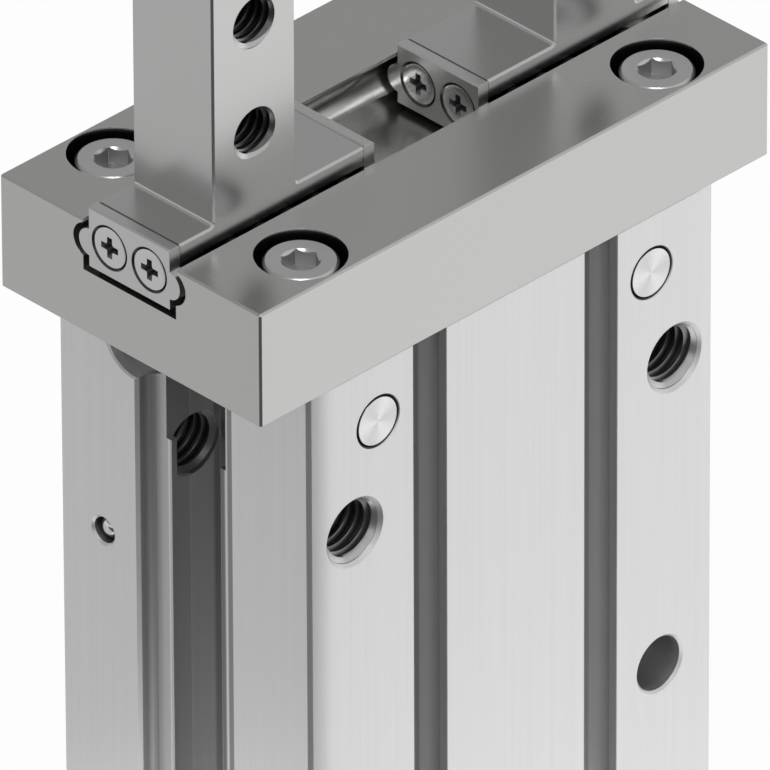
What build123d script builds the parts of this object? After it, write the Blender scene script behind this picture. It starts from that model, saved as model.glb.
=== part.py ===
from build123d import *
from math import asin, cos, degrees, hypot, radians, sin, sqrt, tan
import os

# Pneumatic parallel gripper, in millimetres.
# X is the jaws' travel, Z points up towards the fingers, and the origin is the centre of the bottom face.
# The jaws are stored fully open, with the piston at the top of its stroke.

# Guide block and the groove that the jaws ride in
GUIDE_LENGTH = 50.0
GUIDE_PROUD = 0.125
GUIDE_HEIGHT = 9.3
GUIDE_EDGE = 0.15
GROOVE_MOUTH = 9.3
GROOVE_FLOOR_WIDTH = 9.2
GROOVE_DEPTH = 4.1
BALL_DROP = 1.6
RACE_OFFSET = 4.15
RACE_RADIUS = 1.42

# Body extrusion
BODY_LENGTH = 40.0
BODY_DEPTH = 25.6
BODY_HEIGHT = 52.8
CROWN_RUN = 2.2
CROWN_DROP = 0.3
CORNER_BEVEL = 0.28
END_EDGE = 0.2

# Round sensor grooves on the wide faces
SENSOR_PITCH = 16.9
SENSOR_MOUTH = 3.3
SENSOR_RADIUS = 2.0
SENSOR_LIP = 0.8

# Stepped slots of the narrow faces: a deep one at -X, a shallow one under the air ports at +X
RECESS_HALF = 4.6
RECESS_DEPTH = 1.25
RECESS_BEVEL = 0.25
RECESS_FILLET = 0.6
SLOT_HALF = 2.45
SLOT_LIP = 0.5
SLOT_DEPTH = 2.4
UNDERCUT_HALF = 4.7
CAVITY_DEPTH = 6.8
CAVITY_HALF = 3.3
POCKET_DROP = 10.9
POCKET_WIDER = 0.5

# Levers and their pins
PIN_RADIUS = 2.0
PIN_INSET = 0.05
PIN_BEVEL = 0.15
PIN_BEVEL_LENGTH = 0.5
PIN_HOLE_BEVEL = 0.12
PIVOT_X = 13.5
PIVOT_DROP = 4.7
HUB_RADIUS = 3.1
LEVER_THICKNESS = 3.6
NECK_ROOT = 2.3
NECK_TIP = 1.2
TIP_RADIUS = 1.6
TIP_BITE = 1.45
ARM_ROOT = 2.6
FORK_HALF = 2.85
FORK_BEYOND = 1.9
FORK_RUN = 4.8
TONGUE_GAP = 0.1

# Jaws
JAW_TRAVEL = 5.0
OPEN_GAP = 25.4
POST_LENGTH = 8.0
POST_HEIGHT = 21.4
JAW_WIDTH = 8.0
JAW_RISE = 1.3
JAW_FLOOR_GAP = 0.55
OUTER_LEDGE = 4.3
INNER_LEDGE = 7.6
ROOT_FILLET = 0.3
JAW_EDGE = 0.15
FINGER_THREAD = 2.0
FINGER_FIRST = 5.9
FINGER_PITCH = 9.0

# End plates of the jaws and their screws
PLATE_THICKNESS = 1.0
LOBE_RADIUS = 1.1
LOBE_PROUD = 1.0
LOBE_DROP = 2.9
PLATE_EDGE = 0.12
PLATE_SCREW_PITCH = 3.95
PLATE_SCREW_DROP = 2.5
PLATE_SCREW_HEAD = 1.55
PLATE_SCREW_SHANK = 0.75
PLATE_SCREW_LENGTH = 3.2
PLATE_SINK = 1.75
CROSS_SPAN = 1.6
CROSS_WIDTH = 0.42
CROSS_DEPTH = 0.5

# Balls
BALL_RADIUS = 1.35
BALLS_PER_ROW = 5

# Guide screws and dowels
GUIDE_SCREW_INSET = 2.5
GUIDE_SCREW_Y = 18.6
HEAD_RADIUS = 2.7
HEAD_HEIGHT = 2.9
HEAD_SUNK = 0.4
HEAD_BEVEL = 0.2
SHANK_RADIUS = 1.5
SHANK_LENGTH = 12.0
HEX_FLATS = 2.5
HEX_DEPTH = 1.3
HEX_LEAD = 0.3
COUNTERBORE_RADIUS = 3.32
DOWEL_RADIUS = 1.0
DOWEL_LENGTH = 5.0
DOWEL_X = 17.4
DOWEL_Y = 6.3

# Threads and holes in the body
BODY_THREAD = 2.5
BODY_THREAD_BEVEL = 0.28
BODY_THREAD_DEPTH = 7.0
BODY_THREAD_PITCH = 31.66
BODY_THREAD_DROP = 12.85
SIDE_HOLE_RADIUS = 2.15
SIDE_HOLE_BEVEL = 0.2
SIDE_HOLE_PITCH = 28.9
SIDE_HOLE_DROP = 38.1
SIDE_HOLE_DEPTH = 6.0
BOTTOM_THREAD_PITCH_X = 30.0
BOTTOM_THREAD_PITCH_Y = 16.0
BOTTOM_THREAD_DEPTH = 6.0
PORT_DEPTH = 4.0
UPPER_PORT_DROP = 11.55
LOWER_PORT_Z = 9.6
PASSAGE_RADIUS = 0.8
SPOT_RADIUS = 2.75
SPOT_DEPTH = 1.8
SPOT_BEVEL = 0.15
SPOT_Y = 4.95
SPOT_DROP = 3.45
PLUG_FROM_BACK = 4.63
PLUG_DROP = 20.5
PLUG_RADIUS = 1.0
PLUG_INSET = 0.25
PLUG_DRILL = 0.5

# Cylinder, piston and rod
CYLINDER_RADIUS = 10.0
PARTITION_DROP = 19.4
ROD_RADIUS = 4.0
CROSS_PIN_RADIUS = 1.75
ROD_ABOVE_PIN = 2.6
FORK_SLOT_BELOW = 4.2
SPIGOT_RADIUS = 2.5
PISTON_CLEARANCE = 0.15
PISTON_EDGE = 0.4
END_GAP = 0.1
SEAL_WIDTH = 2.4
SEAL_DEPTH = 2.2
MAGNET_WIDTH = 2.6
MAGNET_DEPTH = 2.8
SEAL_LIP_GAP = 0.7
WEAR_WIDTH = 3.0
WEAR_DEPTH = 1.0
PISTON_LAND = 1.6
NUT_FLATS = 8.0
NUT_HEIGHT = 3.2
NUT_POCKET_SLACK = 0.5
BUMPER_THICKNESS = 1.6
BUMPER_WIDTH = 2.6

# Gland round the rod
BUSH_LENGTH = 3.4
BUSH_WALL = 1.5
ROD_SEAL_LENGTH = 2.8
ROD_SEAL_WALL = 2.1
WASHER_THICKNESS = 0.8
WASHER_WIDER = 0.6

# Closed end of the cylinder
LOCATING_RADIUS = 11.0
LOCATING_DEPTH = 1.2
RING_SHOULDER = 0.3
RING_THICKNESS = 1.0
RING_BITE = 0.5
RING_BAND = 1.7
RING_GAP_HALF = 2.2
RING_EAR = 1.5
RING_EAR_HOLE = 0.55
CAP_THICKNESS = 5.0
CAP_SEAL_RADIUS = 0.9
CAP_BUMPER_THICKNESS = 1.5

# Lead-in angle of drilled holes, overshoot of cuts and tolerance when edges are picked by place
LEAD_ANGLE = 90
CUT_PAST = 1.0
TOUCH = 0.01

# Named clearances
PIVOT_CLEARANCE = 0.03
FORK_CLEARANCE = 0.06
TIP_CLEARANCE = 0.04
ROD_CLEARANCE = 0.03
SEAT_CLEARANCE = 0.02
SOFT_CLEARANCE = 0.05
LEVER_SIDE_CLEARANCE = 0.2
LEVER_SWEEP_CLEARANCE = 0.35
SCREW_CLEARANCE = 0.15
THREAD_CLEARANCE = 0.02

# Depths and places that follow the body's
GUIDE_DEPTH = BODY_DEPTH + 2 * GUIDE_PROUD
GUIDE_SCREW_X = BODY_LENGTH - 2 * GUIDE_SCREW_INSET
PLUG_Y = BODY_DEPTH / 2 - PLUG_FROM_BACK

# Heights
BODY_TOP = BODY_HEIGHT
GUIDE_TOP = BODY_TOP + GUIDE_HEIGHT
GROOVE_FLOOR = GUIDE_TOP - GROOVE_DEPTH
JAW_BOTTOM = GROOVE_FLOOR + JAW_FLOOR_GAP
JAW_TOP = GUIDE_TOP + JAW_RISE
BALL_Z = GUIDE_TOP - BALL_DROP
PIVOT_Z = BODY_TOP - PIVOT_DROP
ARM_UP = JAW_BOTTOM + TIP_BITE - PIVOT_Z
CYLINDER_TOP = BODY_TOP - PARTITION_DROP
UPPER_PORT_Z = BODY_TOP - UPPER_PORT_DROP
FACE_THREAD_Z = BODY_TOP - BODY_THREAD_DROP
SIDE_HOLE_Z = BODY_TOP - SIDE_HOLE_DROP

# Lever geometry: the levers are level at mid stroke and swing equally to both sides
SWING = asin(JAW_TRAVEL / 2 / ARM_UP)
ROD_TRAVEL = 2 * PIVOT_X * tan(SWING)
CROSS_PIN_Z = PIVOT_Z + PIVOT_X * tan(SWING)
ROD_TOP = CROSS_PIN_Z + ROD_ABOVE_PIN
TIP_X = PIVOT_X + JAW_TRAVEL / 2
FORK_REACH = PIVOT_X / cos(SWING) + FORK_BEYOND
FORK_SLOT_HALF = CROSS_PIN_RADIUS + FORK_CLEARANCE
LEVER_SLOT_HALF = LEVER_THICKNESS / 2 + LEVER_SIDE_CLEARANCE
FORK_SWEEP = FORK_REACH * sin(SWING) + FORK_HALF * cos(SWING) + LEVER_SWEEP_CLEARANCE
CHAMBER_FLOOR = PIVOT_Z - FORK_SWEEP
CHAMBER_EDGE = PIVOT_Z - HUB_RADIUS - LEVER_SWEEP_CLEARANCE

# Places along the jaws' travel, for the jaw on the +X side
POST_INNER = OPEN_GAP / 2
POST_CENTRE = POST_INNER + POST_LENGTH / 2
JAW_INNER = POST_INNER - INNER_LEDGE
JAW_OUTER = POST_INNER + POST_LENGTH + OUTER_LEDGE
BASE_LENGTH = JAW_OUTER - JAW_INNER - 2 * PLATE_THICKNESS
BASE_CENTRE = (JAW_OUTER + JAW_INNER) / 2

# Cylinder stack, from the bottom upwards
RING_Z = LOCATING_DEPTH + RING_SHOULDER
CAP_Z = RING_Z + RING_THICKNESS + SEAT_CLEARANCE
CAP_TOP = CAP_Z + CAP_THICKNESS
LOWER_STOP = CAP_TOP + CAP_BUMPER_THICKNESS + END_GAP
PISTON_BOTTOM = LOWER_STOP + ROD_TRAVEL
PISTON_TOP = CYLINDER_TOP - BUMPER_THICKNESS - END_GAP
PISTON_RADIUS = CYLINDER_RADIUS - PISTON_CLEARANCE
WEAR_Z = PISTON_BOTTOM + PISTON_LAND
MAGNET_Z = WEAR_Z + WEAR_WIDTH + PISTON_LAND
SEAL_Z = MAGNET_Z + MAGNET_WIDTH + PISTON_LAND

# Gland stack, from the cylinder upwards
WASHER_Z = CYLINDER_TOP
WASHER_RADIUS = ROD_RADIUS + ROD_SEAL_WALL + WASHER_WIDER
ROD_SEAL_Z = WASHER_Z + WASHER_THICKNESS
ROD_SEAL_RADIUS = ROD_RADIUS + ROD_SEAL_WALL
BUSH_Z = ROD_SEAL_Z + ROD_SEAL_LENGTH
BUSH_RADIUS = ROD_RADIUS + BUSH_WALL
ROD_HOLE_RADIUS = ROD_RADIUS + FORK_CLEARANCE

os.makedirs("parts", exist_ok=True)


def hand_in(piece: BuildPart, name: str) -> None:
    """Label a finished piece and write it to its own file."""
    piece.part.label = name
    export_step(piece.part, f"parts/{name}.step")


def ring(inner: float, outer: float, low: float, high: float, mode: Mode = Mode.ADD) -> None:
    """Add a ring about the cylinder's axis, or cut one, between two heights."""
    with BuildSketch(Plane.XY.offset(low)) as section:
        Circle(outer)
        if inner > 0:
            Circle(inner, mode=Mode.SUBTRACT)
    extrude(section.sketch, amount=high - low, mode=mode)


def wide_face(side: int, x: float, z: float) -> Plane:
    """A drilling plane on the front (-1) or back (1) wide face, facing outwards."""
    return Plane(origin=(x, side * BODY_DEPTH / 2, z), x_dir=(1, 0, 0), z_dir=(0, side, 0))


def narrow_face(side: int, y: float, z: float, inset: float = 0.0) -> Plane:
    """A drilling plane on a narrow face, or inset from it, facing outwards."""
    return Plane(origin=(side * (BODY_LENGTH / 2 - inset), y, z), x_dir=(0, 1, 0), z_dir=(side, 0, 0))


def lever_frame(side: int) -> Plane:
    """The plane of a lever at rest: x along its inner arm, y along its upper arm."""
    return Plane(
        origin=(side * PIVOT_X, 0, PIVOT_Z),
        x_dir=(-side * cos(SWING), 0, sin(SWING)),
        z_dir=(0, side, 0),
    )


# Body: the extruded outline
with BuildPart() as body:
    half_x = BODY_LENGTH / 2
    half_y = BODY_DEPTH / 2
    lip_depth = RECESS_DEPTH + SLOT_LIP
    with BuildSketch() as body_outline:
        with BuildLine():
            Polyline(
                (half_x - CROWN_RUN, half_y),
                (0, half_y),
                (0, 0),
                (half_x, 0),
                (half_x, half_y - CROWN_DROP - CORNER_BEVEL),
                (half_x - CORNER_BEVEL, half_y - CROWN_DROP),
            )
            TangentArc(
                (half_x - CROWN_RUN, half_y), (half_x - CORNER_BEVEL, half_y - CROWN_DROP), tangent=(1, 0)
            )
        make_face()
        mirror(about=Plane.XZ)
        mirror(about=Plane.YZ)
        # Round sensor grooves
        sensor_sink = SENSOR_LIP + sqrt(SENSOR_RADIUS**2 - (SENSOR_MOUTH / 2) ** 2)
        with GridLocations(SENSOR_PITCH, BODY_DEPTH - 2 * sensor_sink, 2, 2):
            Circle(SENSOR_RADIUS, mode=Mode.SUBTRACT)
        with GridLocations(SENSOR_PITCH, BODY_DEPTH - sensor_sink, 2, 2):
            Rectangle(SENSOR_MOUTH, sensor_sink, mode=Mode.SUBTRACT)
        # Stepped slots
        for side, depth, half in ((-1, CAVITY_DEPTH, CAVITY_HALF), (1, SLOT_DEPTH, UNDERCUT_HALF)):
            with BuildLine(mode=Mode.PRIVATE) as recess_line:
                Polyline(
                    (side * half_x, -RECESS_HALF - RECESS_BEVEL),
                    (side * (half_x - RECESS_BEVEL), -RECESS_HALF),
                    (side * (half_x - RECESS_DEPTH), -RECESS_HALF),
                    (side * (half_x - RECESS_DEPTH), RECESS_HALF),
                    (side * (half_x - RECESS_BEVEL), RECESS_HALF),
                    (side * half_x, RECESS_HALF + RECESS_BEVEL),
                    close=True,
                )
            make_face(recess_line.edges(), mode=Mode.SUBTRACT)
            with Locations((side * (half_x - depth / 2), 0)):
                Rectangle(depth, 2 * SLOT_HALF, mode=Mode.SUBTRACT)
            undercut = depth - lip_depth
            with Locations((side * (half_x - depth + undercut / 2), 0)):
                Rectangle(undercut, 2 * half, mode=Mode.SUBTRACT)
        recess_corners = (
            body_outline.vertices()
            .filter_by(lambda v: abs(abs(v.X) - (half_x - RECESS_DEPTH)) < TOUCH)
            .filter_by(lambda v: abs(abs(v.Y) - RECESS_HALF) < TOUCH)
        )
        fillet(recess_corners, RECESS_FILLET)
    extrude(amount=BODY_HEIGHT)

    # Lever chamber, open to the top
    chamber_reach = PIVOT_X + HUB_RADIUS + LEVER_SWEEP_CLEARANCE / 2
    with BuildSketch(Plane.XZ):
        with BuildLine():
            Polyline(
                (0, BODY_TOP + CUT_PAST),
                (chamber_reach, BODY_TOP + CUT_PAST),
                (chamber_reach, CHAMBER_EDGE),
                (PIVOT_X, CHAMBER_EDGE),
                (ROD_RADIUS, CHAMBER_FLOOR),
                (0, CHAMBER_FLOOR),
                close=True,
            )
        make_face()
        mirror(about=Plane.YZ)
    extrude(amount=LEVER_SLOT_HALF, both=True, mode=Mode.SUBTRACT)

    # Rod hole, gland bore, cylinder, retaining ring groove and locating recess
    ring(0, ROD_HOLE_RADIUS, CYLINDER_TOP, BODY_TOP + CUT_PAST, Mode.SUBTRACT)
    ring(0, BUSH_RADIUS, CYLINDER_TOP, BUSH_Z + BUSH_LENGTH, Mode.SUBTRACT)
    ring(0, ROD_SEAL_RADIUS + SOFT_CLEARANCE, CYLINDER_TOP, BUSH_Z, Mode.SUBTRACT)
    ring(0, WASHER_RADIUS, CYLINDER_TOP, ROD_SEAL_Z, Mode.SUBTRACT)
    ring(0, CYLINDER_RADIUS, 0, CYLINDER_TOP, Mode.SUBTRACT)
    ring(0, CYLINDER_RADIUS + RING_BITE, RING_Z, RING_Z + RING_THICKNESS, Mode.SUBTRACT)
    ring(0, LOCATING_RADIUS, 0, LOCATING_DEPTH, Mode.SUBTRACT)

    # Pin holes, mounting threads and side holes of the wide faces; the threads at -X open into the deep slot
    for side in (-1, 1):
        with Locations(wide_face(side, -PIVOT_X, PIVOT_Z), wide_face(side, PIVOT_X, PIVOT_Z)):
            CounterSinkHole(PIN_RADIUS, PIN_RADIUS + PIN_HOLE_BEVEL, BODY_DEPTH / 2, LEAD_ANGLE)
        thread_x = BODY_THREAD_PITCH / 2
        for end, deep in ((-1, half_y - CAVITY_HALF), (1, BODY_THREAD_DEPTH)):
            with Locations(wide_face(side, end * thread_x, FACE_THREAD_Z)):
                CounterSinkHole(BODY_THREAD, BODY_THREAD + BODY_THREAD_BEVEL, deep, LEAD_ANGLE)
    hole_x = SIDE_HOLE_PITCH / 2
    with Locations(wide_face(-1, -hole_x, SIDE_HOLE_Z), wide_face(-1, hole_x, SIDE_HOLE_Z)):
        CounterSinkHole(SIDE_HOLE_RADIUS, SIDE_HOLE_RADIUS + SIDE_HOLE_BEVEL, SIDE_HOLE_DEPTH, LEAD_ANGLE)

    # Threads in the bottom and for the guide screws
    with BuildSketch(Plane.XY):
        with GridLocations(BOTTOM_THREAD_PITCH_X, BOTTOM_THREAD_PITCH_Y, 2, 2):
            Circle(BODY_THREAD)
    extrude(amount=BOTTOM_THREAD_DEPTH, mode=Mode.SUBTRACT)
    guide_thread_depth = SHANK_LENGTH + SCREW_CLEARANCE - (GUIDE_HEIGHT - HEAD_SUNK - HEAD_HEIGHT)
    with BuildSketch(Plane.XY.offset(BODY_TOP)):
        with GridLocations(GUIDE_SCREW_X, GUIDE_SCREW_Y, 2, 2):
            Circle(SHANK_RADIUS + THREAD_CLEARANCE)
    extrude(amount=-guide_thread_depth, mode=Mode.SUBTRACT)
    with BuildSketch(Plane.XY.offset(BODY_TOP)):
        with Locations((-DOWEL_X, -DOWEL_Y), (DOWEL_X, DOWEL_Y)):
            Circle(DOWEL_RADIUS)
    extrude(amount=-DOWEL_LENGTH / 2, mode=Mode.SUBTRACT)

    # Wider mouth of the deep slot towards the top, and the spot face beside it
    with Locations((-(half_x - lip_depth / 2), 0, BODY_TOP - POCKET_DROP / 2)):
        Box(lip_depth, 2 * (SLOT_HALF + POCKET_WIDER), POCKET_DROP, mode=Mode.SUBTRACT)
    with Locations(narrow_face(-1, SPOT_Y, BODY_TOP - SPOT_DROP)):
        CounterSinkHole(SPOT_RADIUS, SPOT_RADIUS + SPOT_BEVEL, SPOT_DEPTH, LEAD_ANGLE)

    # Air ports of the narrow face at +X
    with Locations(narrow_face(1, 0, UPPER_PORT_Z, SLOT_DEPTH), narrow_face(1, 0, LOWER_PORT_Z, SLOT_DEPTH)):
        CounterSinkHole(BODY_THREAD, BODY_THREAD + BODY_THREAD_BEVEL, PORT_DEPTH, LEAD_ANGLE)

    # Air passages: straight in under the piston, slanted down into the upper chamber
    port_end = half_x - SLOT_DEPTH - PORT_DEPTH
    run = port_end - CYLINDER_RADIUS + 2 * PASSAGE_RADIUS
    with Locations(narrow_face(1, 0, CAP_TOP + CAP_BUMPER_THICKNESS / 2, SLOT_DEPTH)):
        Hole(PASSAGE_RADIUS, PORT_DEPTH + run)
    fall = UPPER_PORT_Z - CYLINDER_TOP
    slant = Plane(origin=(port_end, 0, UPPER_PORT_Z), x_dir=(0, 1, 0), z_dir=(run, 0, fall))
    with Locations(slant):
        Hole(PASSAGE_RADIUS, hypot(run, fall) + PASSAGE_RADIUS)
    with Locations(narrow_face(-1, PLUG_Y, BODY_TOP - PLUG_DROP)):
        CounterSinkHole(PLUG_RADIUS, PLUG_RADIUS + SIDE_HOLE_BEVEL, PLUG_INSET + 2 * PLUG_RADIUS, LEAD_ANGLE)
        Hole(PLUG_DRILL, half_x - CYLINDER_RADIUS / 2)

    # Light deburring of the sawn ends
    outer_edges = body.faces().sort_by(Axis.Z)[0].outer_wire().edges()
    chamfer(outer_edges.filter_by(lambda e: e.length > SENSOR_PITCH / 2), END_EDGE)
hand_in(body, "body")


# Guide block
with BuildPart() as guide_rail:
    with BuildSketch(Plane.XY.offset(BODY_TOP)):
        Rectangle(GUIDE_LENGTH, GUIDE_DEPTH)
    extrude(amount=GUIDE_HEIGHT)
    chamfer(guide_rail.edges(), GUIDE_EDGE)
    # Groove with its two ball races
    with BuildSketch(Plane.YZ) as groove:
        with Locations((0, GUIDE_TOP)):
            Rectangle(GROOVE_MOUTH, 2 * BALL_DROP)
        with Locations((0, (GROOVE_FLOOR + BALL_Z) / 2)):
            Rectangle(GROOVE_FLOOR_WIDTH, BALL_Z - GROOVE_FLOOR)
        with Locations((-RACE_OFFSET, BALL_Z), (RACE_OFFSET, BALL_Z)):
            Circle(RACE_RADIUS)
    extrude(amount=GUIDE_LENGTH / 2, both=True, mode=Mode.SUBTRACT)
    # Slots in the floor for the levers' upper arms
    neck_swing = (GROOVE_FLOOR - PIVOT_Z) * tan(SWING) + NECK_ROOT + LEVER_SWEEP_CLEARANCE
    with BuildSketch(Plane.XY.offset(BODY_TOP)):
        with Locations((-PIVOT_X, 0), (PIVOT_X, 0)):
            Rectangle(2 * neck_swing, 2 * LEVER_SLOT_HALF)
    extrude(amount=GROOVE_FLOOR - BODY_TOP, mode=Mode.SUBTRACT)
    # Relief under the block for the rod's head and the levers' forks
    ring(0, ROD_HOLE_RADIUS, BODY_TOP, PIVOT_Z + FORK_SWEEP, Mode.SUBTRACT)
    fork_room = (PIVOT_DROP - FORK_HALF / cos(SWING)) / tan(SWING) - LEVER_SWEEP_CLEARANCE
    with BuildSketch(Plane.XY.offset(BODY_TOP)):
        Rectangle(2 * (PIVOT_X - fork_room), 2 * LEVER_SLOT_HALF)
    extrude(amount=PIVOT_Z + FORK_SWEEP - BODY_TOP, mode=Mode.SUBTRACT)
    # Counterbored holes for the guide screws and holes for the dowels
    with Locations(Plane.XY.offset(GUIDE_TOP)):
        with GridLocations(GUIDE_SCREW_X, GUIDE_SCREW_Y, 2, 2):
            CounterBoreHole(
                SHANK_RADIUS + SCREW_CLEARANCE, COUNTERBORE_RADIUS, HEAD_SUNK + HEAD_HEIGHT, GUIDE_HEIGHT
            )
    with BuildSketch(Plane.XY.offset(BODY_TOP)):
        with Locations((-DOWEL_X, -DOWEL_Y), (DOWEL_X, DOWEL_Y)):
            Circle(DOWEL_RADIUS)
    extrude(amount=DOWEL_LENGTH / 2, mode=Mode.SUBTRACT)
hand_in(guide_rail, "guide_rail")


# Guide screws: socket heads with a chamfered rim and a hexagon socket
with BuildPart() as guide_screws:
    head_top = GUIDE_TOP - HEAD_SUNK
    with BuildSketch(Plane.XY.offset(head_top)):
        with GridLocations(GUIDE_SCREW_X, GUIDE_SCREW_Y, 2, 2):
            Circle(HEAD_RADIUS)
    extrude(amount=-HEAD_HEIGHT)
    chamfer(guide_screws.edges().group_by(Axis.Z)[-1], HEAD_BEVEL)
    with BuildSketch(Plane.XY.offset(head_top - HEAD_HEIGHT)):
        with GridLocations(GUIDE_SCREW_X, GUIDE_SCREW_Y, 2, 2):
            Circle(SHANK_RADIUS)
    extrude(amount=-SHANK_LENGTH)
    with BuildSketch(Plane.XY.offset(head_top)):
        with GridLocations(GUIDE_SCREW_X, GUIDE_SCREW_Y, 2, 2):
            RegularPolygon(HEX_FLATS / 2, 6, major_radius=False)
    extrude(amount=-HEX_DEPTH, mode=Mode.SUBTRACT)
    hex_corner = HEX_FLATS / 2 / cos(radians(30))
    with Locations(Plane.XY.offset(head_top)):
        with GridLocations(GUIDE_SCREW_X, GUIDE_SCREW_Y, 2, 2):
            Cone(
                hex_corner - HEX_LEAD,
                hex_corner,
                HEX_LEAD,
                align=(Align.CENTER, Align.CENTER, Align.MAX),
                mode=Mode.SUBTRACT,
            )
hand_in(guide_screws, "guide_screws")


# Dowels between the guide block and the body
with BuildPart() as guide_dowels:
    with BuildSketch(Plane.XY.offset(BODY_TOP)):
        with Locations((-DOWEL_X, -DOWEL_Y), (DOWEL_X, DOWEL_Y)):
            Circle(DOWEL_RADIUS)
    extrude(amount=DOWEL_LENGTH / 2, both=True)
hand_in(guide_dowels, "guide_dowels")


# Jaws: a base that rides in the groove and an upright post
for jaw_name, side in (("jaw_left", -1), ("jaw_right", 1)):
    base_start = Plane.YZ.offset(side * BASE_CENTRE)
    with BuildPart() as jaw:
        with BuildSketch(base_start):
            with Locations((0, (JAW_BOTTOM + JAW_TOP) / 2)):
                Rectangle(JAW_WIDTH, JAW_TOP - JAW_BOTTOM)
        extrude(amount=BASE_LENGTH / 2, both=True)
        with BuildSketch(Plane.XY.offset(JAW_TOP)):
            with Locations((side * POST_CENTRE, 0)):
                Rectangle(POST_LENGTH, JAW_WIDTH)
        extrude(amount=POST_HEIGHT)
        post_roots = (
            jaw.edges()
            .filter_by(Axis.Y)
            .filter_by(lambda e: abs(e.center().Z - JAW_TOP) < TOUCH)
            .filter_by(lambda e: abs(abs(e.center().X) - POST_CENTRE) < POST_LENGTH / 2 + TOUCH)
        )
        fillet(post_roots, ROOT_FILLET)
        chamfer(jaw.edges().group_by(Axis.Z)[-1], JAW_EDGE)
        post_edges = jaw.edges().filter_by(Axis.Z).filter_by(lambda e: e.center().Z > JAW_TOP)
        chamfer(post_edges, JAW_EDGE)
        # Ball grooves along both sides
        with BuildSketch(base_start):
            with Locations((-RACE_OFFSET, BALL_Z), (RACE_OFFSET, BALL_Z)):
                Circle(RACE_RADIUS)
        extrude(amount=BASE_LENGTH / 2, both=True, mode=Mode.SUBTRACT)
        # Pocket in the underside that the lever's tip moves
        pocket_half = TIP_RADIUS + TIP_CLEARANCE
        pocket_top = PIVOT_Z + ARM_UP + TIP_RADIUS + LEVER_SIDE_CLEARANCE
        with BuildSketch(Plane.XY.offset(JAW_BOTTOM)):
            with Locations((side * TIP_X, 0)):
                Rectangle(2 * pocket_half, 2 * LEVER_SLOT_HALF)
        extrude(amount=pocket_top - JAW_BOTTOM, mode=Mode.SUBTRACT)
        # Finger threads through the post
        for face in (-1, 1):
            with Locations(
                *[
                    Plane(
                        origin=(side * POST_CENTRE, face * JAW_WIDTH / 2, JAW_TOP + height),
                        x_dir=(1, 0, 0),
                        z_dir=(0, face, 0),
                    )
                    for height in (FINGER_FIRST, FINGER_FIRST + FINGER_PITCH)
                ]
            ):
                Hole(FINGER_THREAD, JAW_WIDTH / 2)
        # Tapped holes for the end plates
        for end in (-1, 1):
            with BuildSketch(Plane.YZ.offset(side * BASE_CENTRE + end * BASE_LENGTH / 2)):
                with Locations((0, JAW_TOP - PLATE_SCREW_DROP)):
                    with GridLocations(PLATE_SCREW_PITCH, 1, 2, 1):
                        Circle(PLATE_SCREW_SHANK + THREAD_CLEARANCE)
            extrude(amount=-end * PLATE_SCREW_LENGTH, mode=Mode.SUBTRACT)
    hand_in(jaw, jaw_name)

    # End plates, whose side lobes close the ball rows
    for place, end in (("outer", 1), ("inner", -1)):
        outward = side * end
        seat_x = side * BASE_CENTRE + outward * BASE_LENGTH / 2
        with BuildPart() as end_plate:
            with BuildSketch(Plane.YZ.offset(seat_x)):
                with Locations((0, (JAW_BOTTOM + JAW_TOP) / 2)):
                    Rectangle(JAW_WIDTH, JAW_TOP - JAW_BOTTOM)
                lobe_y = JAW_WIDTH / 2 + LOBE_PROUD - LOBE_RADIUS
                with Locations((-lobe_y, JAW_TOP - LOBE_DROP), (lobe_y, JAW_TOP - LOBE_DROP)):
                    Circle(LOBE_RADIUS)
            extrude(amount=outward * PLATE_THICKNESS)
            chamfer(end_plate.edges().filter_by(Axis.Y).group_by(Axis.Z)[-1], PLATE_EDGE)
            sink_planes = [
                Plane(
                    origin=(seat_x + outward * PLATE_THICKNESS, y, JAW_TOP - PLATE_SCREW_DROP),
                    x_dir=(0, 1, 0),
                    z_dir=(outward, 0, 0),
                )
                for y in (-PLATE_SCREW_PITCH / 2, PLATE_SCREW_PITCH / 2)
            ]
            with Locations(*sink_planes):
                CounterSinkHole(PLATE_SCREW_SHANK + SCREW_CLEARANCE, PLATE_SINK, PLATE_THICKNESS, LEAD_ANGLE)
        hand_in(end_plate, f"{jaw_name}_{place}_plate")

    # Countersunk screws of both plates, with their cross recesses
    with BuildPart() as plate_screws:
        for end in (-1, 1):
            face_x = side * BASE_CENTRE + end * (BASE_LENGTH / 2 + PLATE_THICKNESS)
            cone_depth = PLATE_SCREW_HEAD - PLATE_SCREW_SHANK
            for y in (-PLATE_SCREW_PITCH / 2, PLATE_SCREW_PITCH / 2):
                head_plane = Plane(
                    origin=(face_x - end * SEAT_CLEARANCE, y, JAW_TOP - PLATE_SCREW_DROP),
                    x_dir=(0, 1, 0),
                    z_dir=(end, 0, 0),
                )
                with Locations(head_plane):
                    Cone(
                        PLATE_SCREW_SHANK,
                        PLATE_SCREW_HEAD,
                        cone_depth,
                        align=(Align.CENTER, Align.CENTER, Align.MAX),
                    )
                    Cylinder(
                        PLATE_SCREW_SHANK, PLATE_SCREW_LENGTH, align=(Align.CENTER, Align.CENTER, Align.MAX)
                    )
                with BuildSketch(head_plane):
                    Rectangle(CROSS_SPAN, CROSS_WIDTH)
                    Rectangle(CROSS_WIDTH, CROSS_SPAN)
                extrude(amount=-CROSS_DEPTH, mode=Mode.SUBTRACT)
    hand_in(plate_screws, f"{jaw_name}_plate_screws")

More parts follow.
